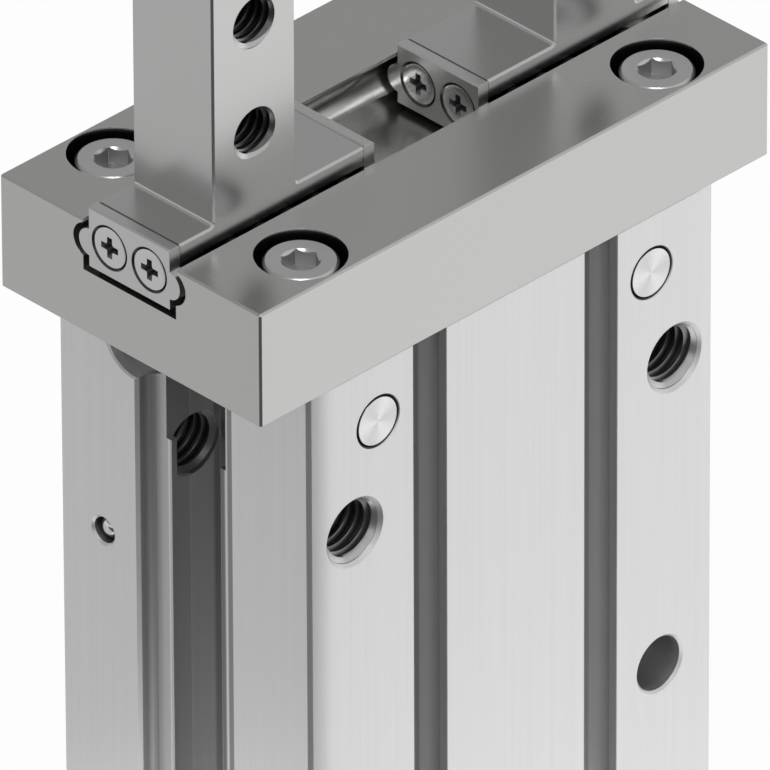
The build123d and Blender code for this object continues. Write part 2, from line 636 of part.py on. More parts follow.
    # Ball rows, which roll half as far as the jaw moves
    row_pitch = 2 * (BALL_RADIUS + SEAT_CLEARANCE)
    row_centre = side * (BASE_CENTRE - JAW_TRAVEL / 4)
    with BuildPart() as ball_rows:
        with Locations((row_centre, 0, BALL_Z)):
            with GridLocations(row_pitch, 2 * RACE_OFFSET, BALLS_PER_ROW, 2):
                Sphere(BALL_RADIUS)
    hand_in(ball_rows, "ball_rows_" + jaw_name.removeprefix("jaw_"))


# Levers: an upper arm for the jaw and a half-thickness fork for the rod's cross pin
for lever_name, side in (("lever_left", -1), ("lever_right", 1)):
    frame = lever_frame(side)
    with BuildPart() as lever:
        with BuildSketch(frame):
            Circle(NECK_ROOT)
            with Locations((0, ARM_UP)):
                Circle(NECK_TIP)
            make_hull()
        extrude(amount=LEVER_THICKNESS / 2, both=True)
        with BuildSketch(frame):
            Circle(HUB_RADIUS)
            with Locations((0, ARM_UP)):
                Circle(TIP_RADIUS)
        extrude(amount=LEVER_THICKNESS / 2, both=True)
        arm_end = PIVOT_X - FORK_RUN
        with BuildSketch(frame):
            Circle(ARM_ROOT)
            with Locations((arm_end - FORK_HALF, 0)):
                Circle(FORK_HALF)
            make_hull()
        extrude(amount=LEVER_THICKNESS / 2, both=True)
        # The fork is half as thick, so that the two levers pass each other
        tongue_thickness = (LEVER_THICKNESS - TONGUE_GAP) / 2
        with BuildSketch(frame.offset(TONGUE_GAP / 2)):
            with Locations(((arm_end + FORK_REACH) / 2 - FORK_HALF, 0)):
                Rectangle(FORK_REACH - arm_end + 2 * FORK_HALF, 2 * FORK_HALF)
        extrude(amount=tongue_thickness)
        with BuildSketch(frame.offset(-LEVER_THICKNESS)):
            slot_start = PIVOT_X - FORK_CLEARANCE
            with Locations((slot_start, 0)):
                Circle(FORK_SLOT_HALF)
            with Locations(((slot_start + FORK_REACH) / 2, 0)):
                Rectangle(FORK_REACH - slot_start, 2 * FORK_SLOT_HALF)
        extrude(amount=2 * LEVER_THICKNESS, mode=Mode.SUBTRACT)
        with BuildSketch(frame.offset(-LEVER_THICKNESS)):
            Circle(PIN_RADIUS + PIVOT_CLEARANCE)
        extrude(amount=2 * LEVER_THICKNESS, mode=Mode.SUBTRACT)
    hand_in(lever, lever_name)

    # The pin that carries the lever, flush with both wide faces
    with BuildPart() as lever_pin:
        with BuildSketch(Plane.XZ):
            with Locations((side * PIVOT_X, PIVOT_Z)):
                Circle(PIN_RADIUS)
        extrude(amount=BODY_DEPTH / 2 - PIN_INSET, both=True)
        for face in lever_pin.faces().filter_by(Axis.Y):
            chamfer(face.edges(), PIN_BEVEL, PIN_BEVEL_LENGTH, reference=face)
    hand_in(lever_pin, lever_name.replace("lever", "lever_pin"))


# Piston rod: a forked head above and a spigot through the piston
with BuildPart() as piston_rod:
    ring(0, ROD_RADIUS, PISTON_TOP, ROD_TOP)
    ring(0, SPIGOT_RADIUS, PISTON_BOTTOM + SEAT_CLEARANCE, PISTON_TOP)
    fork_slot_low = CROSS_PIN_Z - FORK_SLOT_BELOW
    with BuildSketch(Plane.XY.offset(fork_slot_low)):
        Rectangle(2 * ROD_RADIUS, 2 * LEVER_SLOT_HALF)
    extrude(amount=ROD_TOP - fork_slot_low, mode=Mode.SUBTRACT)
    with BuildSketch(Plane.XZ):
        with Locations((0, CROSS_PIN_Z)):
            Circle(CROSS_PIN_RADIUS)
    extrude(amount=ROD_RADIUS, both=True, mode=Mode.SUBTRACT)
    chamfer(piston_rod.edges().group_by(Axis.Z)[-1].filter_by(GeomType.CIRCLE), PISTON_EDGE)
hand_in(piston_rod, "piston_rod")


# Cross pin, held in the rod's fork
with BuildPart() as rod_cross_pin:
    with BuildSketch(Plane.XZ):
        with Locations((0, CROSS_PIN_Z)):
            Circle(CROSS_PIN_RADIUS)
    extrude(amount=sqrt(ROD_RADIUS**2 - CROSS_PIN_RADIUS**2), both=True)
hand_in(rod_cross_pin, "rod_cross_pin")


# Piston, with grooves for its wear ring, magnet and seal
with BuildPart() as piston:
    ring(0, PISTON_RADIUS, PISTON_BOTTOM, PISTON_TOP)
    chamfer(piston.edges().filter_by(GeomType.CIRCLE), PISTON_EDGE)
    for low, width, depth in (
        (WEAR_Z, WEAR_WIDTH, WEAR_DEPTH),
        (MAGNET_Z, MAGNET_WIDTH, MAGNET_DEPTH),
        (SEAL_Z, SEAL_WIDTH, SEAL_DEPTH),
    ):
        ring(PISTON_RADIUS - depth, CYLINDER_RADIUS, low, low + width, Mode.SUBTRACT)
    ring(0, SPIGOT_RADIUS, PISTON_BOTTOM, PISTON_TOP, Mode.SUBTRACT)
    nut_corner = NUT_FLATS / 2 / cos(radians(30))
    ring(0, nut_corner + NUT_POCKET_SLACK, PISTON_BOTTOM, PISTON_BOTTOM + NUT_HEIGHT, Mode.SUBTRACT)
hand_in(piston, "piston")


# Nut that clamps the piston to the rod
with BuildPart() as piston_nut:
    with BuildSketch(Plane.XY.offset(PISTON_BOTTOM + SEAT_CLEARANCE)):
        RegularPolygon(NUT_FLATS / 2, 6, major_radius=False)
        Circle(SPIGOT_RADIUS, mode=Mode.SUBTRACT)
    extrude(amount=NUT_HEIGHT - SEAT_CLEARANCE)
hand_in(piston_nut, "piston_nut")


# Rings on the piston
with BuildPart() as piston_wear_ring:
    ring(
        PISTON_RADIUS - WEAR_DEPTH + SEAT_CLEARANCE,
        CYLINDER_RADIUS - SOFT_CLEARANCE,
        WEAR_Z + SEAT_CLEARANCE,
        WEAR_Z + WEAR_WIDTH - SEAT_CLEARANCE,
    )
hand_in(piston_wear_ring, "piston_wear_ring")

with BuildPart() as piston_magnet:
    ring(
        PISTON_RADIUS - MAGNET_DEPTH + SEAT_CLEARANCE,
        PISTON_RADIUS - SOFT_CLEARANCE,
        MAGNET_Z + SEAT_CLEARANCE,
        MAGNET_Z + MAGNET_WIDTH - SEAT_CLEARANCE,
    )
hand_in(piston_magnet, "piston_magnet")

# The seal has a lip on its outer side, open towards the pressure
with BuildPart() as piston_seal:
    seal_inner = PISTON_RADIUS - SEAL_DEPTH + SOFT_CLEARANCE
    seal_outer = CYLINDER_RADIUS - SOFT_CLEARANCE
    ring(seal_inner, seal_outer, SEAL_Z + SOFT_CLEARANCE, SEAL_Z + SEAL_WIDTH - SOFT_CLEARANCE)
    seal_mid = (seal_inner + seal_outer) / 2
    lip_gap = SEAL_LIP_GAP / 2
    ring(seal_mid - lip_gap, seal_mid + lip_gap, SEAL_Z + SEAL_WIDTH / 2, SEAL_Z + SEAL_WIDTH, Mode.SUBTRACT)
hand_in(piston_seal, "piston_seal")

with BuildPart() as piston_bumper:
    bumper_outer = WASHER_RADIUS + BUMPER_WIDTH
    ring(WASHER_RADIUS - WASHER_WIDER, bumper_outer, PISTON_TOP, PISTON_TOP + BUMPER_THICKNESS)
    chamfer(piston_bumper.edges().group_by(Axis.Z)[-1], PISTON_EDGE / 2)
hand_in(piston_bumper, "piston_bumper")


# Gland: bush, lipped seal and the washer that keeps it in
with BuildPart() as rod_bush:
    ring(ROD_RADIUS + ROD_CLEARANCE, BUSH_RADIUS, BUSH_Z, BUSH_Z + BUSH_LENGTH)
hand_in(rod_bush, "rod_bush")

with BuildPart() as rod_seal:
    ring(ROD_RADIUS + SOFT_CLEARANCE, ROD_SEAL_RADIUS, ROD_SEAL_Z + SOFT_CLEARANCE, BUSH_Z - SOFT_CLEARANCE)
    lip_mid = (ROD_RADIUS + ROD_SEAL_RADIUS) / 2
    ring(lip_mid - lip_gap, lip_mid + lip_gap, ROD_SEAL_Z, ROD_SEAL_Z + ROD_SEAL_LENGTH / 2, Mode.SUBTRACT)
hand_in(rod_seal, "rod_seal")

with BuildPart() as seal_washer:
    ring(ROD_RADIUS + SCREW_CLEARANCE, WASHER_RADIUS, WASHER_Z, WASHER_Z + WASHER_THICKNESS)
hand_in(seal_washer, "seal_washer")


# End cap, its seal and bumper
with BuildPart() as end_cap:
    ring(0, CYLINDER_RADIUS - SEAT_CLEARANCE, CAP_Z, CAP_TOP)
    chamfer(end_cap.edges().filter_by(GeomType.CIRCLE), PISTON_EDGE)
    cap_seal_z = CAP_Z + CAP_THICKNESS / 2
    cap_seal_mid = CYLINDER_RADIUS - CAP_SEAL_RADIUS - SOFT_CLEARANCE
    ring(
        cap_seal_mid - CAP_SEAL_RADIUS - SOFT_CLEARANCE,
        CYLINDER_RADIUS,
        cap_seal_z - CAP_SEAL_RADIUS - SOFT_CLEARANCE,
        cap_seal_z + CAP_SEAL_RADIUS + SOFT_CLEARANCE,
        Mode.SUBTRACT,
    )
    # Dimple that clears the nut and dish in the outer face
    ring(0, nut_corner + NUT_POCKET_SLACK, CAP_TOP - NUT_POCKET_SLACK, CAP_TOP, Mode.SUBTRACT)
    ring(0, nut_corner, CAP_Z, CAP_Z + NUT_POCKET_SLACK, Mode.SUBTRACT)
hand_in(end_cap, "end_cap")

with BuildPart() as end_cap_seal:
    with BuildSketch(Plane.XZ):
        with Locations((cap_seal_mid, cap_seal_z)):
            Circle(CAP_SEAL_RADIUS)
    revolve(axis=Axis.Z)
hand_in(end_cap_seal, "end_cap_seal")

with BuildPart() as end_cap_bumper:
    bumper_inner = nut_corner + 2 * NUT_POCKET_SLACK
    ring(bumper_inner, bumper_inner + BUMPER_WIDTH, CAP_TOP, CAP_TOP + CAP_BUMPER_THICKNESS)
    chamfer(end_cap_bumper.edges().group_by(Axis.Z)[-1], PISTON_EDGE / 2)
hand_in(end_cap_bumper, "end_cap_bumper")


# Retaining ring: an open ring with two drilled ears
with BuildPart() as retaining_ring:
    ring_outer = CYLINDER_RADIUS + RING_BITE - SEAT_CLEARANCE
    ring_inner = ring_outer - RING_BAND
    ear_y = sqrt(ring_inner**2 - RING_GAP_HALF**2)
    with BuildSketch(Plane.XY.offset(RING_Z)):
        Circle(ring_outer)
        Circle(ring_inner, mode=Mode.SUBTRACT)
        with Locations((0, ring_outer)):
            Rectangle(2 * RING_GAP_HALF, 4 * RING_BAND, mode=Mode.SUBTRACT)
        with Locations((-RING_GAP_HALF - RING_EAR / 2, ear_y), (RING_GAP_HALF + RING_EAR / 2, ear_y)):
            Circle(RING_EAR)
        with Locations((-RING_GAP_HALF - RING_EAR / 2, ear_y), (RING_GAP_HALF + RING_EAR / 2, ear_y)):
            Circle(RING_EAR_HOLE, mode=Mode.SUBTRACT)
    extrude(amount=RING_THICKNESS)
hand_in(retaining_ring, "retaining_ring")


# Ball that plugs the cross drilling
with BuildPart() as passage_ball:
    with Locations((-(half_x - PLUG_INSET - PLUG_RADIUS), PLUG_Y, BODY_TOP - PLUG_DROP)):
        Sphere(PLUG_RADIUS)
hand_in(passage_ball, "passage_ball")


print(f"swing each way {degrees(SWING):.4f} deg, rod travel {ROD_TRAVEL:.4f} mm")
print(f"pivots at x {PIVOT_X}, z {PIVOT_Z:.3f}; cross pin z {CROSS_PIN_Z:.3f}")
print(f"piston from z {PISTON_BOTTOM:.3f} to {PISTON_TOP:.3f}")
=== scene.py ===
"""A pneumatic parallel gripper, dressed and lit for a plain studio picture."""
import logging
from collections.abc import Iterable, Mapping
from dataclasses import dataclass
from enum import Enum
from math import asin, atan, cos, pi, radians, sin, sqrt, tau
from typing import ClassVar

import bpy
from mathutils import Matrix, Vector


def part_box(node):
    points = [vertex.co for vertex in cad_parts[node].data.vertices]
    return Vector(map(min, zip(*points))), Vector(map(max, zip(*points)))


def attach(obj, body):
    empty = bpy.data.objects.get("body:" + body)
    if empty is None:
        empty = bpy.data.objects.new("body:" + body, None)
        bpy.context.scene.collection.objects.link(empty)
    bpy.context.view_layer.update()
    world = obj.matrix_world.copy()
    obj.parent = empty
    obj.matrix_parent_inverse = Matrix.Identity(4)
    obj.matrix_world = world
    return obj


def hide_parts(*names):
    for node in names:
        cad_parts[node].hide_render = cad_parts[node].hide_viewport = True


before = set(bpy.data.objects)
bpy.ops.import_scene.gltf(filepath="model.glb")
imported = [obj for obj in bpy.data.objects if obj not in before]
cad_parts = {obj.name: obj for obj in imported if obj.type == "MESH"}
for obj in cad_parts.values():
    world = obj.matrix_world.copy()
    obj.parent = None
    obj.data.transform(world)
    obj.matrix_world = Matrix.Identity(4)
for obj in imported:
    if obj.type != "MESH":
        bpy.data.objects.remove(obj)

log = logging.getLogger("gripper")
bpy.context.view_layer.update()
MM = 0.001

# A metric thread's form, as shares of its pitch
THREAD_DEPTH = 0.5413
ROOT_HALF = 0.4375
CREST_HALF = 0.125


class Axis(Enum):
    """One of the three axes, by its place in a vector."""

    X = 0
    Y = 1
    Z = 2


class Signal:
    """One output socket of a shader node, with arithmetic that adds the nodes it needs."""

    def __init__(self, board: "Board", socket: bpy.types.NodeSocket) -> None:
        """Wraps a socket.

        Args:
            board: the node tree that the socket belongs to.
            socket: the output socket.
        """
        self.board = board
        self.socket = socket

    def _is_value(self) -> bool:
        """Says whether the socket carries a single number."""
        return self.socket.type == "VALUE"

    def _combine(self, operation: str, first: "Feed", second: "Feed") -> "Signal":
        """Adds the node for one operation on two feeds.

        Args:
            operation: a name that Math, Vector Math and Mix share.
            first: the left side.
            second: the right side.

        Returns:
            The result.
        """
        if self._is_value():
            return self.board.add("ShaderNodeMath", {"operation": operation}, {0: first, 1: second})
        if self.socket.type == "RGBA":
            return self.board.add("ShaderNodeMix", {"data_type": "RGBA", "blend_type": operation},
                                  {0: 1.0, 6: first, 7: second}, output=2)
        return self.board.add("ShaderNodeVectorMath", {"operation": operation}, {0: first, 1: second})

    def __add__(self, other: "Feed") -> "Signal":
        """Adds."""
        return self._combine("ADD", self, other)

    def __radd__(self, other: "Feed") -> "Signal":
        """Adds, from the right."""
        return self._combine("ADD", other, self)

    def __sub__(self, other: "Feed") -> "Signal":
        """Subtracts."""
        return self._combine("SUBTRACT", self, other)

    def __rsub__(self, other: "Feed") -> "Signal":
        """Subtracts from the other side."""
        return self._combine("SUBTRACT", other, self)

    def __mul__(self, other: "Feed") -> "Signal":
        """Multiplies."""
        return self._combine("MULTIPLY", self, other)

    def __rmul__(self, other: "Feed") -> "Signal":
        """Multiplies, from the right."""
        return self._combine("MULTIPLY", other, self)

    def __lt__(self, other: "Feed") -> "Signal":
        """Gives 1 where it is less and 0 elsewhere."""
        return self._combine("LESS_THAN", self, other)

    def __gt__(self, other: "Feed") -> "Signal":
        """Gives 1 where it is greater and 0 elsewhere."""
        return self._combine("GREATER_THAN", self, other)

    def __abs__(self) -> "Signal":
        """Takes away the sign, or the sign of each part of a vector."""
        kind = "ShaderNodeMath" if self._is_value() else "ShaderNodeVectorMath"
        return self.board.add(kind, {"operation": "ABSOLUTE"}, {0: self})

    def least(self, other: "Feed") -> "Signal":
        """Gives the smaller of two numbers."""
        return self._combine("MINIMUM", self, other)

    def most(self, other: "Feed") -> "Signal":
        """Gives the larger of two numbers."""
        return self._combine("MAXIMUM", self, other)

    def part(self, axis: Axis) -> "Signal":
        """Gives a vector's part along one axis."""
        return self.board.add("ShaderNodeSeparateXYZ", None, {0: self}, output=axis.value)

    def grey(self) -> "Signal":
        """Turns a tone into the grey of that brightness."""
        return self.board.add("ShaderNodeCombineColor", {"mode": "RGB"}, {0: self, 1: self, 2: self})

    def fade(self, band: tuple[float, float], tones: tuple[float, float]) -> "Signal":
        """Fades smoothly from one tone to another over a band.

        Args:
            band: where the fade starts and ends.
            tones: the tones before and after.

        Returns:
            The tone.
        """
        return self.board.add("ShaderNodeMapRange", {"interpolation_type": "SMOOTHSTEP"},
                              {"Value": self, "From Min": band[0], "From Max": band[1],
                               "To Min": tones[0], "To Max": tones[1]})


Feed = Signal | float | tuple[float, ...]


class Board:
    """A node tree that nodes are added to one call at a time."""

    def __init__(self, tree: bpy.types.NodeTree) -> None:
        """Empties a node tree.

        Args:
            tree: the tree of a material or of the world.
        """
        self.tree = tree
        tree.nodes.clear()

    def add(self, kind: str, settings: Mapping[str, object] | None = None,
            sockets: Mapping[str | int, Feed] | None = None, output: str | int = 0) -> Signal:
        """Adds one node.

        Args:
            kind: the node's type.
            settings: its properties, or stops for a ramp, which are set first.
            sockets: the values or links of its inputs, by name or by number, with three numbers a colour.
            output: the output that is wanted.

        Returns:
            That output, or the first input of a node that has no output.
        """
        node = self.tree.nodes.new(kind)
        for key, value in (settings or {}).items():
            if key == "stops":
                self._set_stops(node.color_ramp, value)
            else:
                setattr(node, key, value)
        for key, value in (sockets or {}).items():
            socket = node.inputs[key]
            if isinstance(value, Signal):
                self.tree.links.new(value.socket, socket)
            else:
                socket.default_value = (*value, 1.0) if socket.type == "RGBA" else value
        return Signal(self, node.outputs[output] if len(node.outputs) else node.inputs[0])

    @staticmethod
    def _set_stops(ramp: bpy.types.ColorRamp, stops: Iterable[tuple[float, float]]) -> None:
        """Gives a ramp its stops.

        Args:
            ramp: the ramp.
            stops: pairs of a position and a grey tone.
        """
        while len(ramp.elements) > 1:
            ramp.elements.remove(ramp.elements[-1])
        for number, (place, tone) in enumerate(stops):
            stop = ramp.elements[0] if number == 0 else ramp.elements.new(place)
            stop.position = place
            stop.color = (tone, tone, tone, 1.0)


def middle(node: str) -> tuple[float, ...]:
    """Gives the middle of a CAD node's box."""
    return tuple((low + high) / 2 for low, high in zip(*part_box(node)))


@dataclass(frozen=True)
class PaintedShadeWell:
    """A round well, such as a countersink, a counterbore or a bore, darkened with painted shade where little
    light reaches.

    Attributes:
        centre: a point on the well's axis.
        axis: the axis that it runs along.
        radius: how far from its axis it darkens.
        dark: the tone of the painted shade inside, where 1 is as bright as elsewhere.
        below: how far from the origin, along the axis, the painted shade ends, if it does.
    """

    centre: tuple[float, ...]
    axis: Axis
    radius: float
    dark: float
    below: float | None = None


@dataclass(frozen=True)
class Finish:
    """A surface finish, with a fine grain in its colour, roughness and relief.

    Attributes:
        name: the material's name.
        colour: the base colour.
        roughness: the middle roughness.
        metallic: 1 for bare metal.
        grain: the size of the grain.
        relief: the height of the grain.
        mottle: how much the tone varies.
        edge: the radius that the edges are softened to, or 0.
        wells: the round wells whose painted shade darkens the colour.
    """

    name: str
    colour: tuple[float, float, float]
    roughness: float
    metallic: float = 1.0
    grain: float = 0.1 * MM
    relief: float = 0.001 * MM
    mottle: float = 0.04
    edge: float = 0.0
    wells: tuple[PaintedShadeWell, ...] = ()
    finer_share: ClassVar[float] = 0.6
    broad: ClassVar[float] = 30.0
    rough_share: ClassVar[float] = 1.5
    edge_samples: ClassVar[int] = 6

    def noise(self, place: Signal, size: float, detail: float = 3.0) -> Signal:
        """Adds a noise of one feature size.

        Args:
            place: the point on the surface.
            size: the size of the features.
            detail: how many finer levels are added.

        Returns:
            A value from 0 to 1.
        """
        return place.board.add("ShaderNodeTexNoise", {"noise_dimensions": "3D"},
                               {"Vector": place, "Scale": 1 / size, "Detail": detail,
                                "Roughness": self.finer_share})

    def pattern(self, place: Signal) -> Signal:
        """Gives the finish's own pattern, from 0 to 1, around 0.5."""
        return self.noise(place, self.grain)

    def tint_and_sheen(self, place: Signal) -> Signal:
        """Gives the broad variation of tone, from 0 to 1, around 0.5."""
        return self.noise(place, self.grain * self.broad, 2.0)

    def tone(self, place: Signal) -> Signal:
        """Gives the colour's brightness over the surface, around 1, with the painted shade of the wells."""
        fine = (self.pattern(place) - 0.5) * self.mottle
        level = fine + (self.tint_and_sheen(place) - 0.5) * self.mottle + 1.0
        for well in self.wells:
            level = level * self.shade(place, well)
        return level

    def shade(self, place: Signal, well: PaintedShadeWell) -> Signal:
        """Gives a well's painted shade.

        Args:
            place: the point on the surface.
            well: the well.

        Returns:
            1 outside the well and the tone of its painted shade inside.
        """
        weights = tuple(0.0 if axis is well.axis else 1.0 for axis in Axis)
        away = place.board.add("ShaderNodeVectorMath", {"operation": "LENGTH"},
                               {0: (place - well.centre) * weights}, output="Value")
        inside = away < well.radius
        if well.below is not None:
            inside = inside * (abs(place.part(well.axis)) < well.below)
        return 1.0 - inside * (1 - well.dark)

    def normal(self, place: Signal) -> Signal:
        """Gives the surface's direction, with the relief and the softened edges."""
        sockets: dict[str | int, Feed] = {"Strength": 1.0, "Distance": self.relief,
                                          "Height": self.pattern(place)}
        if self.edge:
            softened = {"samples": self.edge_samples}
            sockets["Normal"] = place.board.add("ShaderNodeBevel", softened, {"Radius": self.edge})
        return place.board.add("ShaderNodeBump", None, sockets)

    def material(self) -> bpy.types.Material:
        """Makes the material, which goes by the point on the piece at rest, in metres.

        Returns:
            The Blender material.
        """
        made = bpy.data.materials.new(self.name)
        made.use_nodes = True
        board = Board(made.node_tree)
        place = board.add("ShaderNodeTexCoord", output="Object")
        colour = self.tone(place).grey() * self.colour
        rough = (self.pattern(place) - 0.5) * (self.mottle * self.rough_share) + self.roughness
        surface = board.add("ShaderNodeBsdfPrincipled", None,
                            {"Base Color": colour, "Roughness": rough, "Metallic": self.metallic,
                             "Normal": self.normal(place)})
        board.add("ShaderNodeOutputMaterial", None, {"Surface": surface})
        return made


@dataclass(frozen=True)
class LinedFinish(Finish):
    """A finish with fine parallel lines, left by grinding, drawing or extruding.

    Attributes:
        along: the axis that the lines run along.
        stretch: how many times longer than wide they are.
    """

    along: Axis = Axis.X
    stretch: float = 40.0
    longer: ClassVar[float] = 2.5
    wider: ClassVar[float] = 4.0

    def lines(self, place: Signal, stretch: float, size: float, detail: float = 3.0) -> Signal:
        """Adds a noise drawn out along the lines.

        Args:
            place: the point on the surface.
            stretch: how many times it is drawn out.
            size: the width of the lines.
            detail: how many finer levels are added.

        Returns:
            A value from 0 to 1.
        """
        scale = tuple(1 / stretch if axis is self.along else 1.0 for axis in Axis)
        return self.noise(place * scale, size, detail)

    def pattern(self, place: Signal) -> Signal:
        """Gives the fine lines."""
        return self.lines(place, self.stretch, self.grain)

    def tint_and_sheen(self, place: Signal) -> Signal:
        """Gives broader and longer lines of tone along the same axis."""
        return self.lines(place, self.stretch * self.longer, self.grain * self.wider, 2.0)


@dataclass(frozen=True)
class LightSteps:
    """Fine steps of painted highlight and painted shade across a drawn profile.

    Attributes:
        axis: the axis that the steps follow each other along.
        stops: pairs of a place on that axis and the tone there, above 1 a painted highlight and below 1
            painted shade.
        within: the axis that bounds them.
        reach: the least and the greatest distance from the origin on that second axis.
        mirrored: whether the stops also hold on the other side of the origin.
    """

    axis: Axis
    stops: tuple[tuple[float, float], ...]
    within: Axis
    reach: tuple[float, float]
    mirrored: bool = False


@dataclass(frozen=True)
class RecessShadeFinish(LinedFinish):
    """A lined finish with painted shade inside slots, grooves and holes, darker by the depth inside a box.

    Attributes:
        centre: the middle of the box.
        half: half of the box's sides, or a whole metre where nothing ends it.
        band: the depths at which the painted shade starts and is full.
        dark: the tone of the painted shade at full depth.
        steps: the fine steps of painted highlight and painted shade in the slots and grooves.
    """

    centre: tuple[float, ...] = (0.0, 0.0, 0.0)
    half: tuple[float, ...] = (1.0, 1.0, 1.0)
    band: tuple[float, float] = (0.35 * MM, 1.2 * MM)
    dark: float = 0.79
    steps: tuple[LightSteps, ...] = ()

    def tone(self, place: Signal) -> Signal:
        """Gives the colour's brightness, with painted shade inside the box and the painted highlight and
        shade of the steps.
        """
        inside = self.half - abs(place - self.centre)
        depth = inside.part(Axis.X).least(inside.part(Axis.Y)).least(inside.part(Axis.Z))
        level = super().tone(place) * depth.fade(self.band, (1.0, self.dark))
        for steps in self.steps:
            level = level * self.stepped(place, steps)
        return level

    def stepped(self, place: Signal, steps: LightSteps) -> Signal:
        """Gives the painted highlight and painted shade of fine steps in a slot or groove.

        Args:
            place: the point on the surface.
            steps: the steps.

        Returns:
            The steps' tone, and 1 outside their reach.
        """
        first, last = steps.stops[0][0], steps.stops[-1][0]
        stops = [((at - first) / (last - first), tone) for at, tone in steps.stops]
        position = place.part(steps.axis)
        if steps.mirrored:
            position = abs(position)
        share = place.board.add("ShaderNodeMapRange", None,
                                {"Value": position, "From Min": first, "From Max": last})
        ramp = place.board.add("ShaderNodeValToRGB", {"stops": stops}, {0: share})
        tone = place.board.add("ShaderNodeSeparateColor", {"mode": "RGB"}, {0: ramp})
        off = abs(place.part(steps.within))
        reached = (off > steps.reach[0]) * (off < steps.reach[1])
        return (tone - 1.0) * reached + 1.0


@dataclass(frozen=True)
class SeamFinish(Finish):
    """A finish with the thin dark seams that plates leave where they lie against a piece's ends.

    Attributes:
        seams: where the seams lie along X.
        width: how far to each side of its place a seam is dark.
        dark: a seam's tone.
    """

    seams: tuple[float, ...] = ()
    width: float = 0.055 * MM
    dark: float = 0.45

    def tone(self, place: Signal) -> Signal:
        """Gives the colour's brightness, lower along the seams."""
        level = super().tone(place)
        along = place.part(Axis.X)
        for seam in self.seams:
            level = level * (1.0 - (abs(along - seam) < self.width) * (1 - self.dark))
        return level


@dataclass(frozen=True)
class TurnedFinish(Finish):
    """A finish with the rings of a face turned in a lathe, and soft sectors of painted highlight and painted
    shade round its axis.

    Attributes:
        centre: a point on the axis that it was turned about.
        axis: the direction of that axis.
        ring: the distance from one ring to the next.
        sectors: how many bright sectors of painted highlight show.
    """

    centre: tuple[float, ...] = (0.0, 0.0, 0.0)
    axis: Axis = Axis.Y
    ring: float = 0.09 * MM
    sectors: int = 3
    ring_share: ClassVar[float] = 0.3

    def spread(self, place: Signal) -> tuple[Signal, Signal]:
        """Gives the two coordinates across the turned axis, from its centre."""
        first, second = ((place - self.centre).part(axis) for axis in Axis if axis is not self.axis)
        return first, second

    def pattern(self, place: Signal) -> Signal:
        """Gives the tool's rings, a little uneven."""
        first, second = self.spread(place)
        away = place.board.add("ShaderNodeMath", {"operation": "POWER"},
                               {0: first * first + second * second, 1: 0.5})
        wave = place.board.add("ShaderNodeMath", {"operation": "SINE"}, {0: away * (tau / self.ring)})
        return wave * self.ring_share + self.noise(place, self.grain)

    def tint_and_sheen(self, place: Signal) -> Signal:
        """Gives soft bright and dark sectors round the axis: painted highlight and painted shade, as a
        turned face shows under light.
        """
        first, second = self.spread(place)
        turn = place.board.add("ShaderNodeMath", {"operation": "ARCTAN2"}, {0: first, 1: second})
        wave = place.board.add("ShaderNodeMath", {"operation": "SINE"}, {0: turn * float(self.sectors)})
        return wave * 0.5 + 0.5


